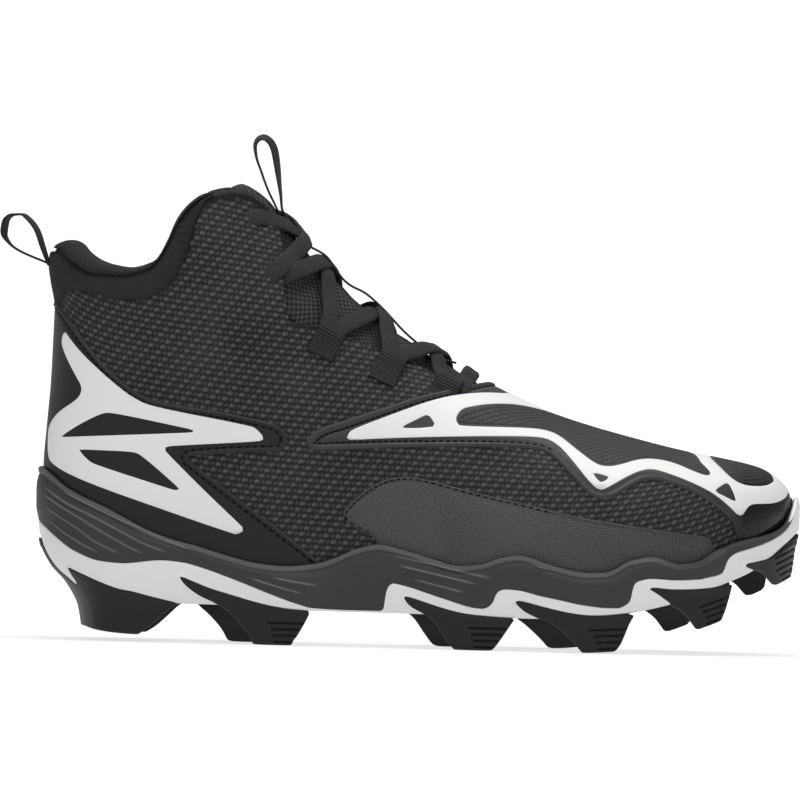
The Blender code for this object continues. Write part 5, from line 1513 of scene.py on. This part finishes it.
def wall_relief(x, z, depth):
    """Height of the raised lines and of the bead under the rim, as shares of a line's height."""
    tall = np.zeros(z.shape)
    for line in WALL_LINES:
        at, slope = curve(line), (line[-1][1] - line[0][1]) / (line[-1][0] - line[0][0])
        ends = ease((x - line[0][0] + 1) / 4) * ease((line[-1][0] + 1 - x) / 4)
        away = (z - at(x)) / math.hypot(1.0, slope)
        tall = np.maximum(tall, ends * np.exp(-(away / LINE_BREADTH) ** 2))
    bead = np.sqrt(np.clip(1 - ((depth - BEAD_BREADTH / 2) / (BEAD_BREADTH * 0.6)) ** 2, 0, 1))
    groove = np.exp(-((depth - BEAD_BREADTH - GROOVE_DOWN) / GROOVE_BREADTH) ** 2)
    return tall + (BEAD_HEIGHT * bead - GROOVE_SHARE * groove) * ease((BEAD_TO - x) / BEAD_RUN)


def plate_rows(x):
    """Bottom, top and inner floor of the plate at a station, and the softness of its edges."""
    bottom, top = plate_bottom(x), rand_top(x) - 0.1
    soft = np.minimum(0.6, 0.25 * (top - bottom))
    return bottom, top, np.minimum(bottom + PLATE, top - 2 * soft), soft


def midsole_profile(x, side):
    """From the bottom, round the step under the rand, up the ribbed wall and over the rim to the footbed."""
    normal = sole_normal(x, side)
    at = side_station(x, side)
    rim = np.where(at > TOE_BUMPER, rim_top(at), np.maximum(rim_top(at), rand_top(x) + 0.6))
    seam = np.minimum(rand_top(x), rim - 0.6)
    inner = upper_station(at)
    bottom = plate_rows(x)[2] + 0.05
    rim_inner = upper_point(inner, rim - 0.4, side) + normal * CUP_GAP
    rim_outer = rim_inner + normal * RIM_LIP
    v = np.linspace(0, 1, WALL_ROWS)
    z = seam[:, None] + (rim - seam)[:, None] * v
    depth = rim[:, None] - z
    low_wall = np.clip((rim - seam)[:, None] / 6.0, 0, 1)
    relief = wall_relief(at[:, None], z, depth) * low_wall
    proud = relief * sizes().rib_height / MM
    wall = sole_point(x[:, None], z, side[:, None], proud)
    share = (ease((v - 0.5) / 0.5) ** 2)[None, :, None]
    wall = wall * (1 - share) + (rim_outer[:, None] + normal[:, None] * proud[..., None]) * share
    wall[..., 2] = z
    up = np.array([0.0, 0.0, 1.0])
    lip = [rim_outer + up * 0.5 - normal * 0.35, (rim_outer + rim_inner) / 2 + up * 0.75,
           rim_inner + up * 0.4 + normal * 0.3]
    floor = upper_point(inner, feather(inner), side) + normal * CUP_GAP
    floor[:, 2] = feather(inner) - 0.3
    start = [sole_point(x, bottom, side, -RAND - 0.3), sole_point(x, seam, side, -RAND - 0.3)]
    columns = np.concatenate([np.stack(start, 1), wall, np.stack(lip, 1), np.stack([rim_inner, floor], 1)], 1)
    # Painted highlight on the raised lines, the bead and the top of the wall under the rim, and painted shade
    # in the groove under the bead; the foam's colour follows these values
    painted_light = np.zeros(columns.shape[:2])
    painted_light[:, 2:2 + WALL_ROWS] = np.clip(relief, -0.4, 1) + 0.12 * ease((1.6 - depth) / 1.0)
    cloth = np.stack([np.broadcast_to(at[:, None], painted_light.shape), columns[..., 2], painted_light], -1)
    return columns, cloth


def build_midsole():
    wall = ring_mesh(midsole_profile, WALL_STEP)
    mesh_piece("midsole_wall", wall, ["foam_wall"], ["midsole"])


def plate_profile(x, side):
    """From the rand's inner foot, over its rounded top and down its outside to the plate's bottom."""
    bottom, top, floor, soft = plate_rows(x)
    rows = [(floor, -RAND), (top - soft, -RAND), (top, -RAND + 0.6), (top, -0.5), (top - soft / 2, -0.1)]
    points = [sole_point(x, z, side, out) for z, out in rows]
    for t in np.linspace(0, 1, 12):
        points.append(sole_point(x, (top - 1.3 * soft) * (1 - t) + (bottom + soft) * t, side, 0.05))
    points.append(sole_point(x, bottom + soft / 4, side, -0.3))
    points.append(sole_point(x, bottom, side, -1.0))
    columns = np.stack(points, 1)
    return columns, columns


def build_plate():
    """The plate with its rand, and a low welt round the top of each stud."""
    parts = [ring_mesh(plate_profile, PLATE_STEP)]
    parts += [welt_mesh(stud, side) for side, _ in SIDES for stud in STUDS]
    mesh_piece("plate_rubber", joined(parts), ["rim_rubber"], ["outsole_plate"])


# A stud of the lateral side in the side view, as station and height: the edge of the black under the white,
# from its tip ahead; the hollow edge behind the tip, down to the lip; the back edge; the foot; the front
# edge. Last, how far back and how far down the medial stud stands.
Stud = namedtuple("Stud", "top hollow back foot front medial_back medial_down")
# The first stud's back edge lies on the heel's outline
HEEL_HEIGHTS = (39.6, 36.0, 32.0, 28.0, 24.2, 19.3, 14.7, 10.1, 5.6)
HEEL_BACK = [(float(heel_wall(z)) + 0.0003, z) for z in HEEL_HEIGHTS]
STUDS = [
    Stud([(-128.0, 28.1), (-127.1, 28.5), (-123.6, 27.0), (-117.8, 24.5), (-111.5, 22.0), (-106.9, 20.6),
          (-102.2, 20.0), (-96.4, 18.5), (-90.6, 17.2), (-85.9, 16.1), (-84.4, 14.6)],
         [(-126.3, 25.1), (-123.8, 21.6)],
         [(-128.8, 24.6), (-132.8, 28.1), (-136.4, 32.8), (-138.8, 38.6)] + HEEL_BACK,
         [(-116.5, 4.1), (-107.6, 3.1), (-99.5, 2.8)],
         [(-97.9, 4.1), (-94.9, 6.1), (-86.6, 14.2)], -2.6, 0.0),
    Stud([(-84.1, 26.0), (-82.9, 26.2), (-78.1, 24.3), (-72.0, 21.9), (-63.9, 19.7), (-55.9, 17.4),
          (-47.8, 15.6), (-39.7, 14.2), (-33.0, 13.5)],
         [(-83.3, 24.0), (-80.0, 20.8), (-75.1, 17.8), (-69.4, 15.5)],
         [(-67.0, 14.4), (-62.9, 11.2), (-58.4, 6.6), (-55.9, 3.0)],
         [(-54.6, 0.0), (-39.6, 0.0)],
         [(-38.8, 2.4), (-37.9, 3.0), (-33.2, 11.6)], 10.3, 0.0),
    Stud([(3.3, 20.1), (4.8, 20.8), (9.6, 19.5), (19.1, 16.4), (28.7, 14.3), (38.3, 13.4), (45.9, 12.9),
          (46.9, 12.4)],
         [(5.3, 17.0), (8.7, 14.8), (12.1, 13.6)],
         [(15.5, 11.1), (18.4, 6.9), (21.4, 2.6)],
         [(23.8, 0.0), (38.1, 0.0)],
         [(40.0, 1.7), (46.4, 11.6)], 7.6, 0.0),
    Stud([(46.7, 19.2), (48.1, 20.2), (50.5, 20.0), (57.2, 18.3), (65.4, 16.4), (73.5, 15.2), (81.5, 14.8),
          (89.5, 15.4), (92.7, 15.7), (93.7, 14.9)],
         [(49.6, 16.2), (53.5, 13.9), (58.5, 12.5)],
         [(59.9, 12.2), (63.6, 9.9), (67.6, 6.4), (70.9, 3.3)],
         [(73.8, 0.0), (86.4, 0.8)],
         [(88.6, 3.3), (90.5, 8.2), (92.0, 12.2)], 12.6, 0.0),
    Stud([(98.7, 25.6), (100.1, 26.5), (102.5, 26.5), (106.5, 26.0), (112.5, 26.0), (120.0, 26.4),
          (128.4, 27.6), (132.0, 28.0)],
         [(103.4, 22.9), (107.8, 19.6)],
         [(110.8, 18.2), (113.8, 16.1), (115.5, 14.1)],
         [(118.6, 10.0), (126.6, 13.0)],
         [(128.1, 14.0), (128.8, 16.1), (129.6, 18.1), (131.0, 23.4)], 11.6, 2.6),
    Stud([(136.1, 35.2), (137.2, 36.5), (143.1, 37.7), (147.3, 39.1), (151.5, 41.8), (155.7, 45.7),
          (158.0, 48.3)],
         [(138.1, 34.0), (141.3, 33.2)],
         [(142.8, 33.4), (145.3, 31.8), (147.8, 28.9)],
         [(149.3, 27.6), (155.2, 30.6)],
         [(155.7, 32.1), (156.3, 36.8), (156.6, 40.6), (157.6, 45.4)], 10.0, 5.1),
]
# Depth of a stud's body at its foot and root, the height between them, and the most of the way to the spine
STUD_DEPTH_FOOT, STUD_DEPTH_ROOT, STUD_RISE, STUD_ROOM = 14.0, 20.0, 14.0, 0.92
# How far a stud's body stands behind its face, how far it reaches into the plate, and its step in at the heel
BODY_BEHIND, BODY_INTO, BODY_AHEAD = 0.3, 0.9, 0.9
STUD_PROUD = 0.6
STUD_EDGE = [(0.0, -0.1), (0.25, 0.35), (0.6, STUD_PROUD)]
# Face points this near the heel's outline belong on it
HEEL_NEAR = 0.2
# The edge between the first stud's face and its rear facet, and the facet's step back
REAR_EDGE = [(-117.1, 4.0), (-117.8, 10.2), (-119.1, 14.0), (-121.5, 18.2), (-123.9, 21.5),
             (-127.6, 24.5), (-130.2, 28.0), (-143.0, 40.0)]
REAR_STEP = 0.3
# Grooves of a face, with the share of their depth on the first stud
GROOVE_PITCH, GROOVE_DEPTH, GROOVE_FIRST = 2.5, 0.75, 0.35
# The first medial stud keeps its place up to this station and is shifted in full this run ahead of it
SHIFT_FROM, SHIFT_RUN = -118.0, 20.0
# Edges of a stud that turn by more degrees than this stay sharp
SHARP_EDGE = 38
WELT_BREADTH = 1.3
# Height of a welt against the distance from its edge, its depth, and its least height over the plate's bottom
WELT_EDGE = [(0.0, -0.1), (0.3, 0.2), (0.8, 0.35)]
WELT_SINK, WELT_OVER = 0.6, 0.35


def stud_place(flat, stud, side):
    """Stations and heights of a stud's points on the sole's wall. The medial stud is shifted."""
    x, z = flat[..., 0], flat[..., 1]
    if side == MEDIAL:
        share = ease((x - SHIFT_FROM) / SHIFT_RUN) if stud is STUDS[0] else 1.0
        x, z = x - stud.medial_back * share, z - stud.medial_down
    return sole_station(x, z, side), z


def foot_height(flat, stud):
    """Height of points over the line of a stud's foot, and their share of the way to its front."""
    (x0, z0), (x1, z1) = stud.foot[0], stud.foot[-1]
    back = np.array(sorted(stud.back + stud.foot[:1], key=lambda p: p[1]))
    front = np.array(sorted(stud.front + stud.foot[-1:], key=lambda p: p[1]))
    start = np.interp(flat[:, 1], back[:, 1], back[:, 0])
    end = np.interp(flat[:, 1], front[:, 1], front[:, 0])
    rise = flat[:, 1] - z0 - (z1 - z0) * (flat[:, 0] - x0) / (x1 - x0)
    return rise, (flat[:, 0] - start) / np.maximum(end - start, 1.0)


def closed_wall(outer, inner, faces, side):
    """A sheet of the sole's wall closed by its inner side."""
    points, faces = close_under(outer, inner, faces if side == LATERAL else faces[:, ::-1])
    return points, faces, points


def stud_face(stud, side):
    """The face of a stud and its pointed top, which lies on the rand, with grooves over the front."""
    first = stud is STUDS[0]
    edges = stud.front[::-1] + stud.foot[::-1] + stud.back[::-1] + stud.hollow[::-1]
    loop = rounded(stud.top + edges, True, 0.5)
    flat, faces, edge = cut_skin(loop, [], 0.5, [d for d, _ in STUD_EDGE if d])
    if first:
        # The two heel faces meet behind the heel, so neither stops short or is rounded off there.
        gap = flat[:, 0] - heel_wall(flat[:, 1])
        flat[:, 0] -= np.where(gap < HEEL_NEAR, gap, 0.0)
        edge = np.maximum(edge, 1.0 - gap)
    rise, along = foot_height(flat, stud)
    tall = stud.front[-1][1] - stud.foot[-1][1]
    groove = np.clip(2.2 * np.cos(2 * np.pi * (rise / GROOVE_PITCH - 0.5)) - 1.0, 0, 1)
    groove = groove * np.clip(edge / 0.5, 0, 1)
    groove = groove * ease((along - 0.5 + 0.012 * rise) / 0.06) * ease((tall - rise) / 1.0) * ease(rise / 1.0)
    height = np.interp(edge, *zip(*STUD_EDGE)) - GROOVE_DEPTH * (GROOVE_FIRST if first else 1.0) * groove
    if first:
        rear = ease((curve(REAR_EDGE, 1, 0)(flat[:, 1]) - flat[:, 0]) / 0.5)
        height = height - REAR_STEP * rear
    x, z = stud_place(flat, stud, side)
    outer = sole_point(x, z, side, height)
    return closed_wall(outer, sole_point(x, z, side, -STUD_PROUD - GROOVE_DEPTH), faces, side)


def stud_block(stud, side):
    """The body of a stud behind its face, from the foot up into the plate."""
    back, foot, front = (stud.hollow[-1:] + stud.back)[-4:], stud.foot, stud.front
    if stud is STUDS[0]:
        back = [(x + BODY_AHEAD, z) for x, z in back]
    head = [(x, float(plate_bottom(sole_station(x, z, LATERAL))) + BODY_INTO)
            for x, z in (front[-1], back[0])]
    loop = rounded(front[::-1] + foot[::-1] + back[::-1] + head[::-1], True, 0.8)
    flat, faces, _ = cut_skin(loop, [], 2.5, [])
    x, z = stud_place(flat, stud, side)
    rise = ease((z - foot[0][1]) / STUD_RISE)
    depth = STUD_DEPTH_FOOT + (STUD_DEPTH_ROOT - STUD_DEPTH_FOOT) * rise
    outer = sole_point(x, z, side, -BODY_BEHIND)
    room = STUD_ROOM * np.abs(outer[:, 1] - spine(outer[:, 0]))
    inner = outer - np.array([0.0, side, 0.0]) * np.minimum(depth, room)[:, None]
    return closed_wall(outer, inner, faces, side)


def welt_mesh(stud, side):
    """A low welt of the white rand round the pointed top of a stud."""
    loop = spaced(rounded(stud.top + stud.hollow[::-1], True, 0.5), 0.6)
    loop = inset_path(loop, -WELT_BREADTH)
    floor = plate_bottom(sole_station(loop[:, 0], loop[:, 1], LATERAL)) + WELT_OVER
    loop[:, 1] = np.maximum(loop[:, 1], floor)
    flat, faces, edge = cut_skin(loop, [], 1.2, [d for d, _ in WELT_EDGE if d])
    x, z = stud_place(flat, stud, side)
    outer = sole_point(x, z, side, np.interp(edge, *zip(*WELT_EDGE)))
    return closed_wall(outer, sole_point(x, z, side, -WELT_SINK), faces, side)


def build_studs():
    for side, word in SIDES:
        for number, stud in enumerate(STUDS, 1):
            made = joined([stud_block(stud, side), stud_face(stud, side)])
            mesh_piece(f"stud_rubber_{word}_{number}", made, ["stud_rubber"],
                       [f"stud_{word}_{number}"], sharp=SHARP_EDGE)


# Stage

CAMERA_ELEVATION, CAMERA_ROLL = 0.4, 1.4
CAMERA_AIM = (0.4, -20.0, 96.7)
FRAME_WIDTH = 312.7
CAMERA_DISTANCE = 8000.0
SENSOR = 36.0
# The floor's side, and how far out its own light begins and ends its rise to the backdrop's, in metres
FLOOR_SIZE, GLOW_NEAR, GLOW_FAR = 60.0, 0.3, 1.2
BACKDROP = 1.1
# Strength of the light from all round behind the shoe, as a share of its strength in front
SKY_BEHIND = 0.5
# Lights in metres: name, place, aim, and breadth and height
LIGHTS = [
    ("key", (-0.4, -1.5, 1.7), (0.0, 0.0, 0.08), (1.4, 1.0)),
    ("top", (0.1, 0.1, 1.8), (0.0, 0.0, 0.05), (1.6, 1.0)),
    ("front", (1.3, -1.5, 0.7), (0.05, 0.0, 0.07), (0.7, 1.0)),
    ("back", (-0.3, 1.6, 1.4), (0.0, 0.0, 0.08), (1.4, 1.0)),
]


def area_light(name, place, aim, size, power):
    light = bpy.data.lights.new(name, "AREA")
    light.shape = "RECTANGLE"
    light.size, light.size_y = size
    light.energy = power
    made = add_object(name, light)
    made.location = place
    made.rotation_euler = (Vector(aim) - Vector(place)).to_track_quat("-Z", "Y").to_euler()


def build_stage():
    """A pale floor without a horizon, soft lights and the camera."""
    scene = bpy.context.scene
    stage = scene.cleat_stage
    scene.view_settings.view_transform = "Standard"
    half = FLOOR_SIZE / 2
    mesh = bpy.data.meshes.new("floor")
    corners = [(-half, -half, 0), (half, -half, 0), (half, half, 0), (-half, half, 0)]
    mesh.from_pydata(corners, [], [(0, 1, 2, 3)])
    floor = add_object("floor", mesh)
    paper = bpy.data.materials.new("floor_paper")
    paper.use_nodes = True
    shader = paper.node_tree.nodes["Principled BSDF"]
    settings = {"Base Color": (*stage.floor_colour, 1.0), "Roughness": 0.9, "Specular IOR Level": 0.0,
                "Emission Strength": 1.0}
    for key, value in settings.items():
        shader.inputs[key].default_value = value
    place = add_node(paper.node_tree, "ShaderNodeTexCoord").outputs["Object"]
    away = add_node(paper.node_tree, "ShaderNodeVectorMath", {0: place}, operation="LENGTH").outputs["Value"]
    glow = add_node(paper.node_tree, "ShaderNodeMapRange", {
        "Value": away, "From Min": GLOW_NEAR, "From Max": GLOW_FAR, "To Min": stage.floor_glow,
        "To Max": BACKDROP})
    paper.node_tree.links.new(glow.outputs[0], shader.inputs["Emission Color"])
    mesh.materials.append(paper)
    world = bpy.data.worlds.new("studio")
    scene.world = world
    world.use_nodes = True
    tree = world.node_tree
    ways = add_node(tree, "ShaderNodeTexCoord").outputs["Generated"]
    ahead = add_node(tree, "ShaderNodeSeparateXYZ", {0: ways}).outputs[1]
    soft = add_node(tree, "ShaderNodeMapRange", {
        "Value": ahead, "From Min": -1.0, "From Max": 1.0, "To Min": stage.sky,
        "To Max": SKY_BEHIND * stage.sky})
    seen = add_node(tree, "ShaderNodeLightPath").outputs["Is Camera Ray"]
    strength = sum_of(tree, "MAXIMUM", soft.outputs[0], sum_of(tree, "MULTIPLY", seen, BACKDROP))
    tree.links.new(strength, tree.nodes["Background"].inputs["Strength"])
    tree.nodes["Background"].inputs["Color"].default_value = (1.0, 1.0, 1.0, 1.0)
    for name, *rest in LIGHTS:
        area_light(name, *rest, getattr(stage, name))
    camera = add_object("camera", bpy.data.cameras.new("camera"))
    camera.data.sensor_width = SENSOR
    camera.data.lens = SENSOR * CAMERA_DISTANCE / FRAME_WIDTH
    camera.data.clip_end = 100.0
    tilt = math.radians(CAMERA_ELEVATION)
    back = Vector((0.0, -math.cos(tilt), math.sin(tilt)))
    camera.location = (Vector(CAMERA_AIM) + back * CAMERA_DISTANCE) * MM
    camera.rotation_euler = (-back).to_track_quat("-Z", "Y").to_euler()
    camera.rotation_euler.rotate_axis("Z", math.radians(CAMERA_ROLL))
    scene.camera = camera


# Add-on: sizes and colours, one operator for each piece or group of pieces, and the panel

def length_property(name, description, default):
    return bpy.props.FloatProperty(name=name, description=description, default=default, min=0.0,
                                   unit="LENGTH", precision=5)


def power_property(name, description, default):
    return bpy.props.FloatProperty(name=name, description=description, default=default, min=0.0, unit="POWER")


def colour_property(name, description, default):
    return bpy.props.FloatVectorProperty(name=name, description=description, default=default, size=3,
                                         min=0.0, max=1.0, subtype="COLOR")


class CleatSizes(bpy.types.PropertyGroup):
    """Sizes that a user would change."""

    weave_pitch: length_property("Weave pitch", "From one raised thread to the next along a row", 0.00475)
    weave_row: length_property("Weave rows", "From one row of the weave to the next", 0.00235)
    weave_height: length_property("Weave height", "How far a raised thread stands out", 0.00055)
    stitch_pitch: length_property("Stitch pitch", "From one stitch to the next", 0.0030)
    stitch_length: length_property("Stitch length", "Length of one stitch", 0.0023)
    lace_width: length_property("Lace width", "Width of the flat lace", 0.0070)
    lace_thickness: length_property("Lace thickness", "Thickness of the flat lace", 0.0022)
    loop_width: length_property("Pull loop width", "Width of the heel's webbing", 0.0100)
    webbing_thickness: length_property("Webbing thickness", "Thickness of the webbing", 0.0009)
    rib_height: length_property("Rib height", "How far the midsole's ribs stand out", 0.0006)


class CleatColours(bpy.types.PropertyGroup):
    """Colours that a user would change."""

    mesh: colour_property("Mesh", "Coarse woven cloth of the upper", (0.012, 0.012, 0.012))
    skin: colour_property("Skin", "Smooth overlays", (0.012, 0.0115, 0.0115))
    panel: colour_property("Panels", "Fine skin of the side panels", (0.033, 0.032, 0.0325))
    zone: colour_property("Dotted zones", "Pitted zones in the vamp", (0.024, 0.0228, 0.0233))
    film: colour_property("Film", "White film on the overlays", (0.67, 0.67, 0.655))
    knit: colour_property("Knit", "Collar, lining and insole", (0.024, 0.0235, 0.0235))
    webbing: colour_property("Webbing", "Pull loops, strap and lace loops", (0.020, 0.020, 0.020))
    lace: colour_property("Lace", "Lace", (0.025, 0.024, 0.0265))
    foam: colour_property("Foam", "Midsole", (0.035, 0.034, 0.036))
    rim: colour_property("Rim", "White rubber of the plate", (0.66, 0.65, 0.67))
    rubber: colour_property("Rubber", "Black rubber of the studs", (0.012, 0.0118, 0.0118))


class CleatStage(bpy.types.PropertyGroup):
    """Floor and lights."""

    floor_colour: colour_property("Floor", "Colour of the floor", (0.3, 0.3, 0.3))
    floor_glow: bpy.props.FloatProperty(
        name="Floor glow", description="Light of the floor itself near the shoe", default=0.66, min=0.0)
    sky: bpy.props.FloatProperty(
        name="Sky", description="Strength of the light from all round", default=0.5, min=0.0)
    key: power_property("Key", "Power of the key light", 14.5)
    top: power_property("Top", "Power of the top light", 26.0)
    front: power_property("Front", "Power of the light at the toe", 3.0)
    back: power_property("Back", "Power of the light behind the shoe", 6.0)


class CleatOperator(bpy.types.Operator):
    """Common form of the operators: each runs the function that builds its piece."""

    bl_options = {"REGISTER", "UNDO"}

    def execute(self, context):
        type(self).build()
        return {"FINISHED"}


PIECES = [
    ("stage", "Make the floor, the lights and the camera", build_stage),
    ("upper", "Weave the upper's wall and its lining", build_upper),
    ("overlays", "Cut the counter, the vamp overlay and the side panels", build_overlays),
    ("films", "Lay the white film and the dotted zones", build_films),
    ("stitches", "Sew the overlays' edges", build_stitches),
    ("collar", "Pad the knit collar and bind its heel", build_collar),
    ("tongue", "Pad the tongue", build_tongue),
    ("laces", "Run the lace through its loops and eyelets", build_laces),
    ("lace_loops", "Fold the webbing tabs over the lace", build_lace_loops),
    ("webbing", "Bend the pull loops and the tongue's strap", build_webbing),
    ("insole", "Lay the footbed", build_insole),
    ("midsole", "Mould the ribbed foam midsole", build_midsole),
    ("plate", "Mould the white plate and its rim", build_plate),
    ("studs", "Mould the studs and their pointed tops", build_studs),
]


def operator_class(key, text, build):
    """An operator that runs one builder."""
    return type(f"CLEAT_OT_{key}", (CleatOperator,), {
        "bl_idname": f"cleat.{key}", "bl_label": "Build " + key.replace("_", " "), "bl_description": text,
        "__doc__": text, "build": staticmethod(build),
    })


OPERATORS = [operator_class(*row) for row in PIECES]


class CLEAT_PT_pieces(bpy.types.Panel):
    """Lists the pieces in the 3D view's sidebar."""

    bl_label = "Moulded cleat"
    bl_idname = "CLEAT_PT_pieces"
    bl_space_type = "VIEW_3D"
    bl_region_type = "UI"
    bl_category = "Cleat"

    def draw(self, context):
        for group in ("cleat_sizes", "cleat_colours", "cleat_stage"):
            values = getattr(context.scene, group)
            for key in values.__annotations__:
                self.layout.prop(values, key)
        for key, *_ in PIECES:
            self.layout.operator(f"cleat.{key}")


GROUP_CLASSES = {"cleat_sizes": CleatSizes, "cleat_colours": CleatColours, "cleat_stage": CleatStage}


def register():
    for key, group in GROUP_CLASSES.items():
        bpy.utils.register_class(group)
        setattr(bpy.types.Scene, key, bpy.props.PointerProperty(type=group))
    for made in (*OPERATORS, CLEAT_PT_pieces):
        bpy.utils.register_class(made)


def unregister():
    for made in (CLEAT_PT_pieces, *OPERATORS[::-1]):
        bpy.utils.unregister_class(made)
    for key, group in GROUP_CLASSES.items():
        delattr(bpy.types.Scene, key)
        bpy.utils.unregister_class(group)


def main():
    register()
    for key, *_ in PIECES:
        getattr(bpy.ops.cleat, key)()


if __name__ == "__main__":
    main()
